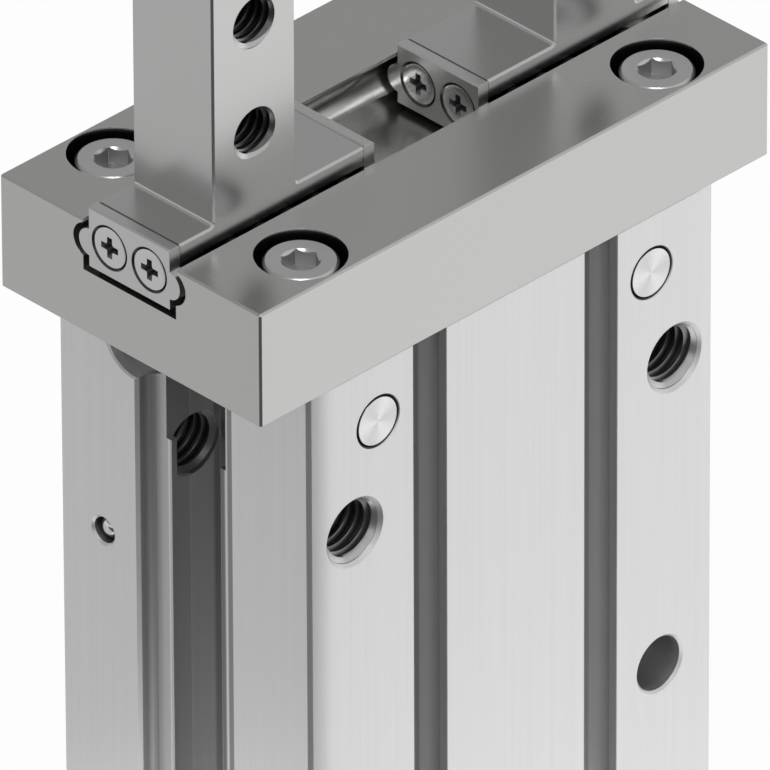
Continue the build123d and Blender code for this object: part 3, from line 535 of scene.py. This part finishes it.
class Finishes:
    """Every finish of the gripper, made once and handed out as materials."""

    def __init__(self) -> None:
        """Describes the finishes."""
        self._made: dict[str, bpy.types.Material] = {}
        self._all: dict[str, Finish] = {**self._housing(), **self._jaws(), **self._drive()}

    def _housing(self) -> dict[str, Finish]:
        """Describes the finishes of the body, the guide block and their screws, pins and covers."""
        low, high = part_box("body")
        half = tuple((b - a) / 2 for a, b in zip(low, high))
        # Painted shade: darker in the passage ball's bore and round the lever pins' ends, each pin's disc
        # set a little to the left.
        ball_bore_shade = PaintedShadeWell(middle("passage_ball"), Axis.X, radius=1.02 * MM, dark=0.3)
        pin_x, pin_height = Housing.lever_pin_place
        shade_shift_left = 0.04 * MM
        pin_rim_shade = tuple(PaintedShadeWell((x - shade_shift_left, 0.0, pin_height), Axis.Y, radius=2.1 * MM, dark=0.12)
                          for x in (-pin_x, pin_x))
        right, back = Housing.guide_screw_spread
        corners = [(x * right, y * back, 0.0) for x in (-1, 1) for y in (-1, 1)]
        # Painted shade round the screw heads in the guide's counterbored holes and inside the screws' hex
        # sockets.
        counterbore_shade = tuple(PaintedShadeWell(corner, Axis.Z, radius=3.36 * MM, dark=0.22, below=61.98 * MM)
                             for corner in corners)
        socket_shade = tuple(PaintedShadeWell(corner, Axis.Z, radius=1.44 * MM, dark=0.9, below=61.4 * MM)
                             for corner in corners)
        return {
            # The body's finish carries painted shade in its slots, grooves and holes, and painted highlight
            # and shade in fine steps on the ledges and grooves.
            "body_anodised": RecessShadeFinish(
                "drawn_anodised_aluminium", (0.79, 0.79, 0.79), roughness=0.46, grain=0.09 * MM,
                relief=0.002 * MM, mottle=0.085, edge=0.06 * MM, along=Axis.Z, stretch=60.0,
                centre=middle("body"), half=half, wells=(ball_bore_shade, *pin_rim_shade), steps=self._slot_light_and_shade()),
            # The thread ridges are darker than the body and darker still with depth: painted shade inside
            # the tapped holes.
            "tapped_aluminium": RecessShadeFinish(
                "tapped_aluminium", (0.6, 0.6, 0.6), roughness=0.33, grain=0.08 * MM, mottle=0.06,
                half=(half[0], half[1], 1.0), band=(0.5 * MM, 0.9 * MM), dark=0.5, stretch=1.0),
            "guide_steel": LinedFinish(
                "ground_guide_steel", (0.60, 0.60, 0.588), roughness=0.27, grain=0.05 * MM,
                relief=0.0001 * MM, mottle=0.012, edge=0.035 * MM, along=Axis.Y, wells=counterbore_shade),
            # The cap's turned finish paints sectors of highlight and shade round its axis.
            "cap_aluminium": TurnedFinish(
                "turned_cap_aluminium", (0.7, 0.7, 0.71), roughness=0.33, relief=0.002 * MM, mottle=0.07,
                axis=Axis.Z, ring=0.16 * MM),
            "ring_steel": Finish(
                "phosphated_ring_steel", (0.1, 0.1, 0.105), roughness=0.5, metallic=0.6, grain=0.08 * MM,
                relief=0.004 * MM, mottle=0.25),
            "seal_rubber": Finish(
                "black_seal_rubber", (0.03, 0.03, 0.03), roughness=0.55, metallic=0.0, grain=0.2 * MM,
                relief=0.004 * MM, mottle=0.25),
            "bumper_urethane": Finish(
                "amber_urethane", (0.62, 0.44, 0.14), roughness=0.42, metallic=0.0, grain=0.3 * MM,
                relief=0.004 * MM, mottle=0.12),
            "bush_bronze": Finish(
                "sintered_bronze", (0.55, 0.38, 0.18), roughness=0.45, grain=0.08 * MM, relief=0.004 * MM,
                mottle=0.2),
            "socket_screw_steel": Finish(
                "socket_screw_steel", (0.66, 0.66, 0.665), roughness=0.3, mottle=0.06, edge=0.06 * MM,
                wells=socket_shade),
            "pin_steel": Finish(
                "turned_pin_steel", (0.8, 0.8, 0.8), roughness=0.3, relief=0.002 * MM, edge=0.08 * MM),
            "ball_steel": Finish(
                "polished_ball_steel", (0.75, 0.75, 0.76), roughness=0.14, grain=0.2 * MM,
                relief=0.0002 * MM, mottle=0.03),
        }

    @staticmethod
    def _jaws() -> dict[str, Finish]:
        """Describes the finishes of the jaws, their finger threads, end plates and plate screws."""
        posts = [(side * Jaw.post_middle, height) for side in (-1, 1) for height in Jaw.thread_heights]
        # Painted shade inside the finger holes and, in a disc set right and up, on their threads, and
        # painted shade in the countersinks round the plate screws' heads.
        shade_shift_right, shade_shift_up = 0.22 * MM, 0.2 * MM
        finger_bore_shade = tuple(PaintedShadeWell((x, 0.0, z), Axis.Y, radius=2.01 * MM, dark=0.3, below=3.7 * MM)
                             for x, z in posts)
        finger_thread_shade = tuple(PaintedShadeWell((x + shade_shift_right, 0.0, z + shade_shift_up), Axis.Y, radius=1.92 * MM, dark=0.3)
                            for x, z in posts)
        plate_sink_shade = tuple(PaintedShadeWell((0.0, spread, Jaw.screw_height), Axis.X, radius=1.76 * MM, dark=0.12)
                            for spread in (-Jaw.screw_spread, Jaw.screw_spread))
        plate_seams = tuple(corner[0] for jaw in ("jaw_left", "jaw_right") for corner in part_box(jaw))
        return {
            "jaw_steel": SeamFinish(
                "ground_jaw_steel", (0.62, 0.62, 0.615), roughness=0.27, grain=0.05 * MM,
                relief=0.0001 * MM, mottle=0.016, edge=0.05 * MM, wells=finger_bore_shade, seams=plate_seams),
            # Painted shade, darker with depth inside the finger threads.
            "tapped_steel": RecessShadeFinish(
                "tapped_steel", (0.6, 0.6, 0.6), roughness=0.3, grain=0.08 * MM, mottle=0.06,
                half=(1.0, Jaw.post_width / 2, 1.0), band=(0.3 * MM, 0.5 * MM), dark=0.6, stretch=1.0,
                wells=finger_thread_shade),
            "plate_steel": Finish(
                "pressed_plate_steel", (0.66, 0.66, 0.655), roughness=0.33, grain=0.15 * MM,
                relief=0.0008 * MM, mottle=0.04, edge=0.04 * MM, wells=plate_sink_shade),
            "cross_screw_steel": Finish(
                "bright_screw_steel", (0.72, 0.72, 0.725), roughness=0.26, mottle=0.06),
            # A darker material for the inside of the cross recess: painted shade.
            "recess_shade_steel": Finish(
                "cross_recess_shade_steel", (0.2, 0.2, 0.2), roughness=0.45, mottle=0.1),
        }

    @staticmethod
    def _drive() -> dict[str, Finish]:
        """Describes the finishes of the levers, the ball rows and the piston with what it carries."""
        return {
            "lever_steel": Finish(
                "hardened_lever_steel", (0.4, 0.4, 0.41), roughness=0.35, grain=0.15 * MM,
                relief=0.002 * MM, mottle=0.1),
            # The ball rows are nearly black, painted shade so that the gaps beside the jaws' bases show
            # dark.
            "shade_black_ball_steel": Finish(
                "shade_black_ball_steel", (0.012, 0.012, 0.012), roughness=0.4, grain=0.2 * MM,
                relief=0.0002 * MM, mottle=0.05),
            "rod_steel": LinedFinish(
                "ground_rod_steel", (0.6, 0.6, 0.61), roughness=0.22, grain=0.06 * MM, relief=0.0006 * MM,
                along=Axis.Y),
            "nut_steel": Finish(
                "plated_nut_steel", (0.52, 0.5, 0.45), roughness=0.35, grain=0.15 * MM,
                relief=0.002 * MM, mottle=0.1),
            "piston_aluminium": LinedFinish(
                "turned_piston_aluminium", (0.72, 0.72, 0.73), roughness=0.3, grain=0.08 * MM,
                along=Axis.X),
            "wear_plastic": Finish(
                "filled_wear_plastic", (0.12, 0.12, 0.12), roughness=0.5, metallic=0.0,
                relief=0.004 * MM, mottle=0.25),
            "magnet_compound": Finish(
                "bonded_magnet", (0.08, 0.07, 0.07), roughness=0.6, metallic=0.0, relief=0.006 * MM,
                mottle=0.3),
        }

    @staticmethod
    def _slot_light_and_shade() -> tuple[LightSteps, ...]:
        """Gives the fine steps of painted highlight and painted shade on the slots' ledges, the deep slot's
        wall and the sensor grooves.
        """
        # Pairs of a place in millimetres and the tone there, above 1 a painted highlight and below 1 painted
        # shade
        ledges = ((-5.0, 1.0), (-4.66, 1.0), (-4.64, 0.6), (-3.15, 0.5), (-3.05, 1.2), (-2.9, 1.2),
                  (-2.8, 0.4), (-2.5, 0.35), (-2.4, 1.0), (2.4, 1.0), (2.64, 1.0), (2.68, 1.35),
                  (2.78, 1.35), (2.82, 1.0), (3.5, 1.0), (3.55, 0.93), (4.0, 0.93), (4.04, 0.55),
                  (4.35, 0.55), (4.4, 0.75), (4.64, 0.75), (4.66, 1.0), (5.0, 1.0))
        wall = ((-17.6, 1.0), (-16.2, 1.0), (-16.17, 1.25), (-16.09, 1.25), (-16.06, 1.12), (-13.95, 1.12),
                (-13.7, 0.65), (-13.25, 0.65), (-13.2, 1.0), (-13.0, 1.0))
        groove, lip = 8.45, 1.65
        side = ((0.5, 1.05), (lip - 0.15, 1.0), (lip - 0.06, 0.65), (lip + 0.06, 0.65), (lip + 0.12, 1.0),
                (2.2, 1.0))
        grooves = (*((groove - off, tone) for off, tone in reversed(side)),
                   *((groove + off, tone) for off, tone in side))
        rows = ((Axis.Y, ledges, Axis.X, (17.4, 19.75), False),
                (Axis.X, wall, Axis.Y, (2.4, 3.4), False),
                (Axis.X, grooves, Axis.Y, (8.6, 12.7), True))
        return tuple(LightSteps(axis, tuple((at * MM, tone) for at, tone in stops), within,
                           (near * MM, far * MM), mirrored)
                     for axis, stops, within, (near, far), mirrored in rows)

    def named(self, name: str) -> bpy.types.Material:
        """Gives a finish's material.

        Args:
            name: the finish's name here.

        Returns:
            The material, made at the first call.
        """
        if name not in self._made:
            self._made[name] = self._all[name].material()
        return self._made[name]

    @staticmethod
    def turned(name: str, centre: tuple[float, ...]) -> bpy.types.Material:
        """Gives the finish of a turned pin end, with sectors of painted highlight and shade on its face.

        Args:
            name: the pin's node.
            centre: a point on the pin's axis.

        Returns:
            The material.
        """
        return TurnedFinish(f"{name}_steel", (0.78, 0.78, 0.78), roughness=0.3, grain=0.12 * MM,
                            relief=0.0012 * MM, mottle=0.2, edge=0.04 * MM, centre=centre).material()


def dress(node: str, material: bpy.types.Material) -> None:
    """Gives a CAD node its finish.

    Args:
        node: the node's name.
        material: the finish.
    """
    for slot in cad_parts[node].material_slots:
        slot.material = material
    log.info("%s dressed", node)


def mesh_piece(name: str, points: list[Vector], faces: list[tuple[int, ...]],
               material: bpy.types.Material, sharp: float = radians(28)) -> bpy.types.Object:
    """Makes a mesh object that is smooth except at its sharp edges.

    Args:
        name: the piece's name.
        points: the corners, in metres.
        faces: the corners of each face, by number.
        material: the finish.
        sharp: the angle from which an edge is sharp.

    Returns:
        The object.
    """
    mesh = bpy.data.meshes.new(name)
    mesh.from_pydata(points, [], faces)
    mesh.validate()
    mesh.shade_smooth()
    mesh.set_sharp_from_angle(angle=sharp)
    mesh.materials.append(material)
    piece = bpy.data.objects.new(name, mesh)
    bpy.context.scene.collection.objects.link(piece)
    return piece


def across(direction: Vector) -> tuple[Vector, Vector]:
    """Gives two directions square to a hole's or a screw's axis.

    Args:
        direction: the axis, of length 1.

    Returns:
        Two unit vectors that make a right-handed set with it.
    """
    first = Vector((0, 0, 1)) if abs(direction.z) < 0.9 else Vector((1, 0, 0))
    first = (first - direction * first.dot(direction)).normalized()
    return first, direction.cross(first)


@dataclass
class TappedHole:
    """The helical ridge of a tapped hole, cut back by the countersink at its mouth.

    The major radius is the thread's greatest, and far_mouth is the radius at the hole's other end, where
    that is open. The helix has so many steps a turn, its root lies a sink deep in the wall, and it starts
    a lead behind the countersink.
    """

    name: str
    body: str
    slot: str
    finish: str
    mouth: Vector
    inward: Vector
    length: float
    major: float
    pitch: float
    countersink: float
    far_mouth: float | None = None
    steps: int = 72
    sink: float = 0.02 * MM
    lead: float = 0.01 * MM

    def _cone(self, depth: float) -> float:
        """Gives the countersink's radius at a depth."""
        near = self.countersink - depth
        return near if self.far_mouth is None else max(near, self.far_mouth - (self.length - depth))

    def _points(self) -> list[Vector]:
        """Gives the ridge's corners, four at each step of the helix."""
        minor = self.major - THREAD_DEPTH * self.pitch
        base, crest = ROOT_HALF * self.pitch, CREST_HALF * self.pitch
        start = self.countersink - self.major + self.lead
        end, last = self.length, self.length - base
        if self.far_mouth is not None:
            end = last = self.length - (self.far_mouth - self.major + self.lead)
        turns = (last - start) / self.pitch
        first, second = across(self.inward)
        points: list[Vector] = []
        for number in range(int(turns * self.steps) + 1):
            angle = tau * number / self.steps
            level = start + self.pitch * number / self.steps
            outwards = first * cos(angle) + second * sin(angle)
            for shift, is_crest in ((-base, False), (-crest, True), (crest, True), (base, False)):
                depth = min(max(level + shift, start), end)
                reach = max(minor, self._cone(depth)) if is_crest else self.major + self.sink
                points.append(self.mouth + self.inward * depth + outwards * reach)
        return points

    def build(self, finishes: Finishes) -> None:
        """Builds the ridge.

        Args:
            finishes: the finishes of the gripper.
        """
        points = self._points()
        faces: list[tuple[int, ...]] = [(0, 1, 2, 3)]
        for row in range(len(points) // 4 - 1):
            for side in range(4):
                a, b = row * 4 + side, row * 4 + (side + 1) % 4
                faces.append((a, a + 4, b + 4, b))
        faces.append(tuple(reversed(range(len(points) - 4, len(points)))))
        ridge = mesh_piece(self.name, points, faces, finishes.named(self.finish))
        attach(ridge, self.body)
        log.info("%s built", self.name)


@dataclass
class CrossScrew:
    """A countersunk screw with a cross recess.

    The head, the shank and the recess's heart go by their radii, and the rim by its height. The recess
    has four arms that reach to the span and are two wings wide.
    """

    centre: Vector
    outward: Vector
    shank_end: float
    head: float = 1.55 * MM
    shank: float = 0.75 * MM
    rim: float = 0.12 * MM
    span: float = 0.82 * MM
    wing: float = 0.24 * MM
    heart: float = 0.42 * MM
    depth: float = 0.95 * MM
    recess_rings: ClassVar[int] = 4

    def _outline(self, angle: float) -> float:
        """Gives how far the recess reaches from the middle in one direction."""
        off = (angle + pi / 4) % (pi / 2) - pi / 4
        side = self.wing / max(abs(sin(off)), 1e-6)
        return max(min(self.span / cos(off), side), self.heart)

    def _angles(self) -> list[float]:
        """Gives the directions round the recess, with one at each of its corners."""
        tip, root = atan(self.wing / self.span), asin(self.wing / self.heart)
        quarter = [0.0, tip * 0.55, tip, tip + 0.02, (tip + root) / 2, root, (root + pi / 4) / 2]
        half = quarter + [pi / 4] + [pi / 2 - a for a in reversed(quarter[1:])]
        return [q * pi / 2 + a for q in range(4) for a in half]

    def _rings(self) -> list[list[tuple[float, float]]]:
        """Gives each ring of the surface, from the recess to the shank's end, as radius and height."""
        edge = [self._outline(a) for a in self._angles()]
        floor = [self.depth * (1 - 0.72 * (r / self.span) ** 1.2) for r in edge]
        return [
            # The recess: its middle, its floor, its walls and its rounded edge
            [(r * 0.12, -self.depth * 1.04) for r in edge],
            [(r * 0.45, -self.depth + 0.02 * MM) for r in edge],
            [(r * 0.86, -f) for r, f in zip(edge, floor)],
            [(r * 0.985, -0.03 * MM) for r in edge],
            [(r + 0.02 * MM, 0.0) for r in edge],
            # The head's flat top, its rim and cone, and the shank
            [(self.head * 0.62 if r < self.head * 0.6 else r + 0.05 * MM, 0.0) for r in edge],
            [(self.head * 0.93, 0.0) for _ in edge],
            [(self.head, -0.04 * MM) for _ in edge],
            [(self.head, -self.rim) for _ in edge],
            [(self.shank, -self.rim - (self.head - self.shank)) for _ in edge],
            [(self.shank, -self.shank_end + 0.1 * MM) for _ in edge],
            [(self.shank - 0.1 * MM, -self.shank_end) for _ in edge],
        ]

    def add_to(self, points: list[Vector], faces: list[tuple[int, ...]], recess: set[int]) -> None:
        """Adds the screw to a mesh that is being made.

        Args:
            points: the mesh's corners, added to.
            faces: the mesh's faces, added to.
            recess: the numbers of the faces inside the recess, added to.
        """
        first, second = across(self.outward)
        angles, rings = self._angles(), self._rings()
        count, start = len(angles), len(points)
        for ring in rings:
            for angle, (radius, height) in zip(angles, ring):
                points.append(self.centre + self.outward * height
                              + (first * cos(angle) + second * sin(angle)) * radius)
        for row in range(len(rings) - 1):
            for column in range(count):
                a = start + row * count + column
                b = start + row * count + (column + 1) % count
                if row < self.recess_rings:
                    recess.add(len(faces))
                faces.append((a, a + count, b + count, b))
        recess.add(len(faces))
        faces.append(tuple(start + n for n in range(count)))
        last = start + (len(rings) - 1) * count
        faces.append(tuple(last + n for n in reversed(range(count))))


@dataclass
class Jaw:
    """One jaw with its end plates, their screws and its finger threads."""

    side: str
    sign: int
    thread_radius: float = 2.0 * MM
    thread_pitch: float = 0.7 * MM
    thread_heights: tuple[float, float] = (69.3 * MM, 78.3 * MM)
    post_middle: float = 16.7 * MM
    post_width: float = 8.0 * MM
    screw_height: float = 60.9 * MM
    screw_spread: float = 1.975 * MM
    shank_end: float = 3.2 * MM

    @property
    def body(self) -> str:
        """The CAD body that the jaw's pieces ride on, which is also the jaw's node."""
        return f"jaw_{self.side}"

    def build(self, finishes: Finishes) -> None:
        """Builds what the CAD model leaves out and gives the jaw's nodes their finishes.

        Args:
            finishes: the finishes of the gripper.
        """
        self._build_threads(finishes)
        self._build_screws(finishes)
        dress(self.body, finishes.named("jaw_steel"))
        for where in ("outer", "inner"):
            dress(f"{self.body}_{where}_plate", finishes.named("plate_steel"))

    def _build_threads(self, finishes: Finishes) -> None:
        """Builds the two finger threads, which go through the post."""
        for level, height in zip(("lower", "upper"), self.thread_heights):
            mouth = Vector((self.sign * self.post_middle, -self.post_width / 2, height))
            TappedHole(f"finger_thread_{self.side}_{level}", self.body, "jaw_steel", "tapped_steel", mouth,
                       Vector((0, 1, 0)), length=self.post_width, major=self.thread_radius,
                       pitch=self.thread_pitch, countersink=self.thread_radius,
                       far_mouth=self.thread_radius).build(finishes)

    def _build_screws(self, finishes: Finishes) -> None:
        """Builds the cross-recess screws of both end plates in place of the CAD's plain ones."""
        node = f"{self.body}_plate_screws"
        low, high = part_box(node)
        points: list[Vector] = []
        faces: list[tuple[int, ...]] = []
        recess: set[int] = set()
        for end, out in ((low[0], -1), (high[0], 1)):
            for spread in (-self.screw_spread, self.screw_spread):
                centre = Vector((end, spread, self.screw_height))
                CrossScrew(centre, Vector((out, 0, 0)), self.shank_end).add_to(points, faces, recess)
        screws = mesh_piece(f"plate_screws_{self.side}", points, faces, finishes.named("cross_screw_steel"),
                            sharp=radians(32))
        # The recess faces take the darker material, painted shade inside the cross recess.
        screws.data.materials.append(finishes.named("recess_shade_steel"))
        for number in recess:
            screws.data.polygons[number].material_index = 1
        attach(screws, self.body)
        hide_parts(node)
        log.info("plate_screws_%s built", self.side)


@dataclass
class Housing:
    """The body with its guide block, pins, covers and threads."""

    half_depth: float = 12.8 * MM
    face_thread_height: float = 39.95 * MM
    face_thread_spread: float = 15.83 * MM
    face_thread_depths: tuple[float, float] = (9.5 * MM, 7.0 * MM)
    thread_radius: float = 2.5 * MM
    thread_pitch: float = 0.8 * MM
    countersink: float = 2.79 * MM
    port_floor: float = 17.6 * MM
    port_heights: tuple[float, float] = (41.25 * MM, 9.6 * MM)
    port_depth: float = 4.0 * MM
    bottom_spread: tuple[float, float] = (15.0 * MM, 8.0 * MM)
    bottom_depth: float = 6.0 * MM
    lever_pin_place: tuple[float, float] = (13.5 * MM, 48.13 * MM)
    guide_screw_spread: tuple[float, float] = (17.5 * MM, 9.3 * MM)
    node_finishes: tuple[tuple[str, str], ...] = (
        ("body", "body_anodised"), ("guide_rail", "guide_steel"), ("guide_screws", "socket_screw_steel"),
        ("guide_dowels", "pin_steel"), ("end_cap", "cap_aluminium"), ("end_cap_seal", "seal_rubber"),
        ("end_cap_bumper", "bumper_urethane"), ("retaining_ring", "ring_steel"), ("rod_bush", "bush_bronze"),
        ("rod_seal", "seal_rubber"), ("seal_washer", "rod_steel"), ("passage_ball", "ball_steel"))

    def build(self, finishes: Finishes) -> None:
        """Builds the threads and gives every node of the housing its finish.

        Args:
            finishes: the finishes of the gripper.
        """
        for facing, sign in (("front", -1), ("back", 1)):
            for side, hand, depth in zip(("left", "right"), (-1, 1), self.face_thread_depths):
                mouth = Vector((hand * self.face_thread_spread, sign * self.half_depth,
                                self.face_thread_height))
                self._thread(finishes, f"face_thread_{facing}_{side}", mouth, Vector((0, -sign, 0)),
                             depth, self.thread_radius if side == "left" else None)
                corner = Vector((hand * self.bottom_spread[0], sign * self.bottom_spread[1], 0))
                self._thread(finishes, f"bottom_thread_{facing}_{side}", corner, Vector((0, 0, 1)),
                             self.bottom_depth)
        for level, height in zip(("upper", "lower"), self.port_heights):
            mouth = Vector((self.port_floor, 0, height))
            self._thread(finishes, f"port_thread_{level}", mouth, Vector((-1, 0, 0)), self.port_depth)
        for node, finish in self.node_finishes:
            dress(node, finishes.named(finish))
        for node in ("lever_pin_left", "lever_pin_right"):
            dress(node, finishes.turned(node, middle(node)))

    def _thread(self, finishes: Finishes, name: str, mouth: Vector, inward: Vector, depth: float,
                far_mouth: float | None = None) -> None:
        """Builds one of the body's threads.

        Args:
            finishes: the finishes of the gripper.
            name: the piece's name.
            mouth: the middle of the hole's mouth.
            inward: the direction into the hole.
            depth: the hole's depth.
            far_mouth: the radius at the hole's far end, if it is open there.
        """
        TappedHole(name, "housing", "body_anodised", "tapped_aluminium", mouth, inward, length=depth,
                   major=self.thread_radius, pitch=self.thread_pitch, countersink=self.countersink,
                   far_mouth=far_mouth).build(finishes)


@dataclass
class Drive:
    """The moving inner pieces: ball rows, levers and the piston with what it carries."""

    node_finishes: tuple[tuple[str, str], ...] = (
        ("ball_rows_left", "shade_black_ball_steel"), ("ball_rows_right", "shade_black_ball_steel"),
        ("lever_left", "lever_steel"), ("lever_right", "lever_steel"), ("piston_rod", "rod_steel"),
        ("rod_cross_pin", "pin_steel"), ("piston", "piston_aluminium"), ("piston_nut", "nut_steel"),
        ("piston_wear_ring", "wear_plastic"), ("piston_magnet", "magnet_compound"),
        ("piston_seal", "seal_rubber"), ("piston_bumper", "bumper_urethane"))

    def build(self, finishes: Finishes) -> None:
        """Gives the drive's CAD nodes their finishes.

        Args:
            finishes: the finishes of the gripper.
        """
        for node, finish in self.node_finishes:
            dress(node, finishes.named(finish))


@dataclass
class Camera:
    """The camera at the photograph's place.

    Attributes:
        turn: how far it looks round to the right of straight at the wide face.
        tilt: how far it looks down.
        roll: how far it leans.
        aim: the point that it is placed from.
        offset: how far that point lies to the picture's right, below its middle and ahead.
        lens: the focal length, in millimetres.
    """

    turn: float = radians(44.605)
    tilt: float = radians(32.934)
    roll: float = radians(0.240)
    aim: tuple[float, float, float] = (0.0, 0.0, 62.1 * MM)
    offset: tuple[float, float, float] = (0.066 * MM, -19.331 * MM, 1607.4 * MM)
    lens: float = 1076.8

    def build(self) -> None:
        """Makes the camera and sets it as the scene's."""
        forward = Vector((cos(self.tilt) * sin(self.turn), cos(self.tilt) * cos(self.turn), -sin(self.tilt)))
        level = Vector((cos(self.turn), -sin(self.turn), 0))
        down = forward.cross(level)
        right = level * cos(self.roll) + down * sin(self.roll)
        below = down * cos(self.roll) - level * sin(self.roll)
        sideways, under, ahead = self.offset
        place = Vector(self.aim) - right * sideways - below * under - forward * ahead
        camera = bpy.data.objects.new("camera", bpy.data.cameras.new("camera"))
        camera.data.lens = self.lens
        facing = Matrix((right, -below, -forward)).transposed().to_4x4()
        camera.matrix_world = Matrix.Translation(place) @ facing
        bpy.context.scene.collection.objects.link(camera)
        bpy.context.scene.camera = camera
        log.info("camera placed")


@dataclass
class Studio:
    """The paper floor, the soft lamp overhead and the surroundings that the metal mirrors.

    The bands say where the floor or the sky fades from one tone to the next.
    """

    floor_size: float = 4.0
    paper_colour: tuple[float, float, float] = (0.9, 0.9, 0.9)
    shadow_share: float = 0.05
    left_band: tuple[float, float] = (29 * MM, 38 * MM)
    right_band: tuple[float, float] = (29 * MM, 45 * MM)
    near_band: tuple[float, float] = (22 * MM, 40 * MM)
    near_spread: float = 0.45
    left_tone: float = 0.585
    right_tone: float = 0.95
    near_tone: float = 0.07
    sky_tone: float = 0.37
    sky_right: float = 0.3
    sky_band: tuple[float, float] = (-0.1, 0.8)
    horizon: float = 0.9
    horizon_band: tuple[float, float] = (0.06, 0.3)
    fill_tone: float = 0.6
    lamp_place: tuple[float, float, float] = (-0.39, -0.38, 0.84)
    lamp_aim: tuple[float, float, float] = (0.0, 0.0, 45 * MM)
    lamp_size: float = 0.35
    lamp_power: float = 2.0

    def build(self) -> None:
        """Builds the set."""
        self._floor()
        self._world()
        self._lamp()

    @staticmethod
    def _towards(place: Signal) -> tuple[Signal, Signal]:
        """Gives how far a point lies to the picture's right and away from the camera."""
        east, north = place.part(Axis.X), place.part(Axis.Y)
        return (east - north) * sqrt(0.5), (east + north) * sqrt(0.5)

    @staticmethod
    def _seen(board: Board) -> Signal:
        """Gives 1 for what the camera sees, directly, mirrored or through glass."""
        camera, glossy, clear = (board.add("ShaderNodeLightPath", output=f"Is {kind} Ray")
                                 for kind in ("Camera", "Glossy", "Transmission"))
        return camera.most(glossy).most(clear)

    def _floor(self) -> None:
        """Makes the floor: white behind the object, toned to the sides, with the object's shadow."""
        half = self.floor_size / 2
        corners = [Vector((x * half, y * half, 0)) for x, y in ((-1, -1), (1, -1), (1, 1), (-1, 1))]
        made = bpy.data.materials.new("studio_paper")
        made.use_nodes = True
        board = Board(made.node_tree)
        right, away = self._towards(board.add("ShaderNodeTexCoord", output="Object"))
        near = (away + abs(right) * self.near_spread) * -1.0
        tone = ((right * -1.0).fade(self.left_band, (1.0, self.left_tone))
                * right.fade(self.right_band, (1.0, self.right_tone))
                * near.fade(self.near_band, (1.0, self.near_tone)))
        glow = board.add("ShaderNodeEmission", None, {"Color": tone.grey(), "Strength": 1.0})
        paper = board.add("ShaderNodeBsdfDiffuse", None, {"Color": self.paper_colour})
        surface = board.add("ShaderNodeMixShader", None,
                            {0: self._seen(board) * (1 - self.shadow_share), 1: paper, 2: glow})
        board.add("ShaderNodeOutputMaterial", None, {"Surface": surface})
        mesh_piece("studio_floor", corners, [(0, 1, 2, 3)], made)
        log.info("studio_floor built")

    def _world(self) -> None:
        """Makes the surroundings: a pale horizon, a grey ceiling brighter to the right, and an even fill."""
        world = bpy.data.worlds.new("studio")
        world.use_nodes = True
        bpy.context.scene.world = world
        board = Board(world.node_tree)
        direction = board.add("ShaderNodeTexCoord", output="Generated")
        right, _ = self._towards(direction)
        ceiling = right.fade(self.sky_band, (self.sky_tone, self.sky_tone + self.sky_right))
        low = direction.part(Axis.Z).fade(self.horizon_band, (1.0, 0.0))
        sky = ceiling + low * (self.horizon - self.sky_tone)
        seen = board.add("ShaderNodeBackground", None, {"Color": sky.grey(), "Strength": 1.0})
        fill = board.add("ShaderNodeBackground", None,
                         {"Color": (1.0, 1.0, 1.0), "Strength": self.fill_tone})
        both = board.add("ShaderNodeMixShader", None, {0: self._seen(board), 1: fill, 2: seen})
        board.add("ShaderNodeOutputWorld", None, {"Surface": both})

    def _lamp(self) -> None:
        """Hangs a soft square lamp over the object."""
        light = bpy.data.lights.new("overhead_lamp", "AREA")
        light.size = self.lamp_size
        light.energy = self.lamp_power
        lamp = bpy.data.objects.new("overhead_lamp", light)
        lamp.location = self.lamp_place
        aim = Vector(self.lamp_aim) - Vector(self.lamp_place)
        lamp.rotation_euler = aim.to_track_quat("-Z", "Y").to_euler()
        bpy.context.scene.collection.objects.link(lamp)


def main() -> None:
    """Builds the picture: the camera, the gripper's pieces in order, and the studio."""
    logging.basicConfig(level=logging.INFO, format="%(message)s")
    Camera().build()
    finishes = Finishes()
    Housing().build(finishes)
    Jaw("left", -1).build(finishes)
    Jaw("right", 1).build(finishes)
    Drive().build(finishes)
    Studio().build()
    bpy.context.scene.view_settings.view_transform = "Standard"


if __name__ == "__main__":
    main()
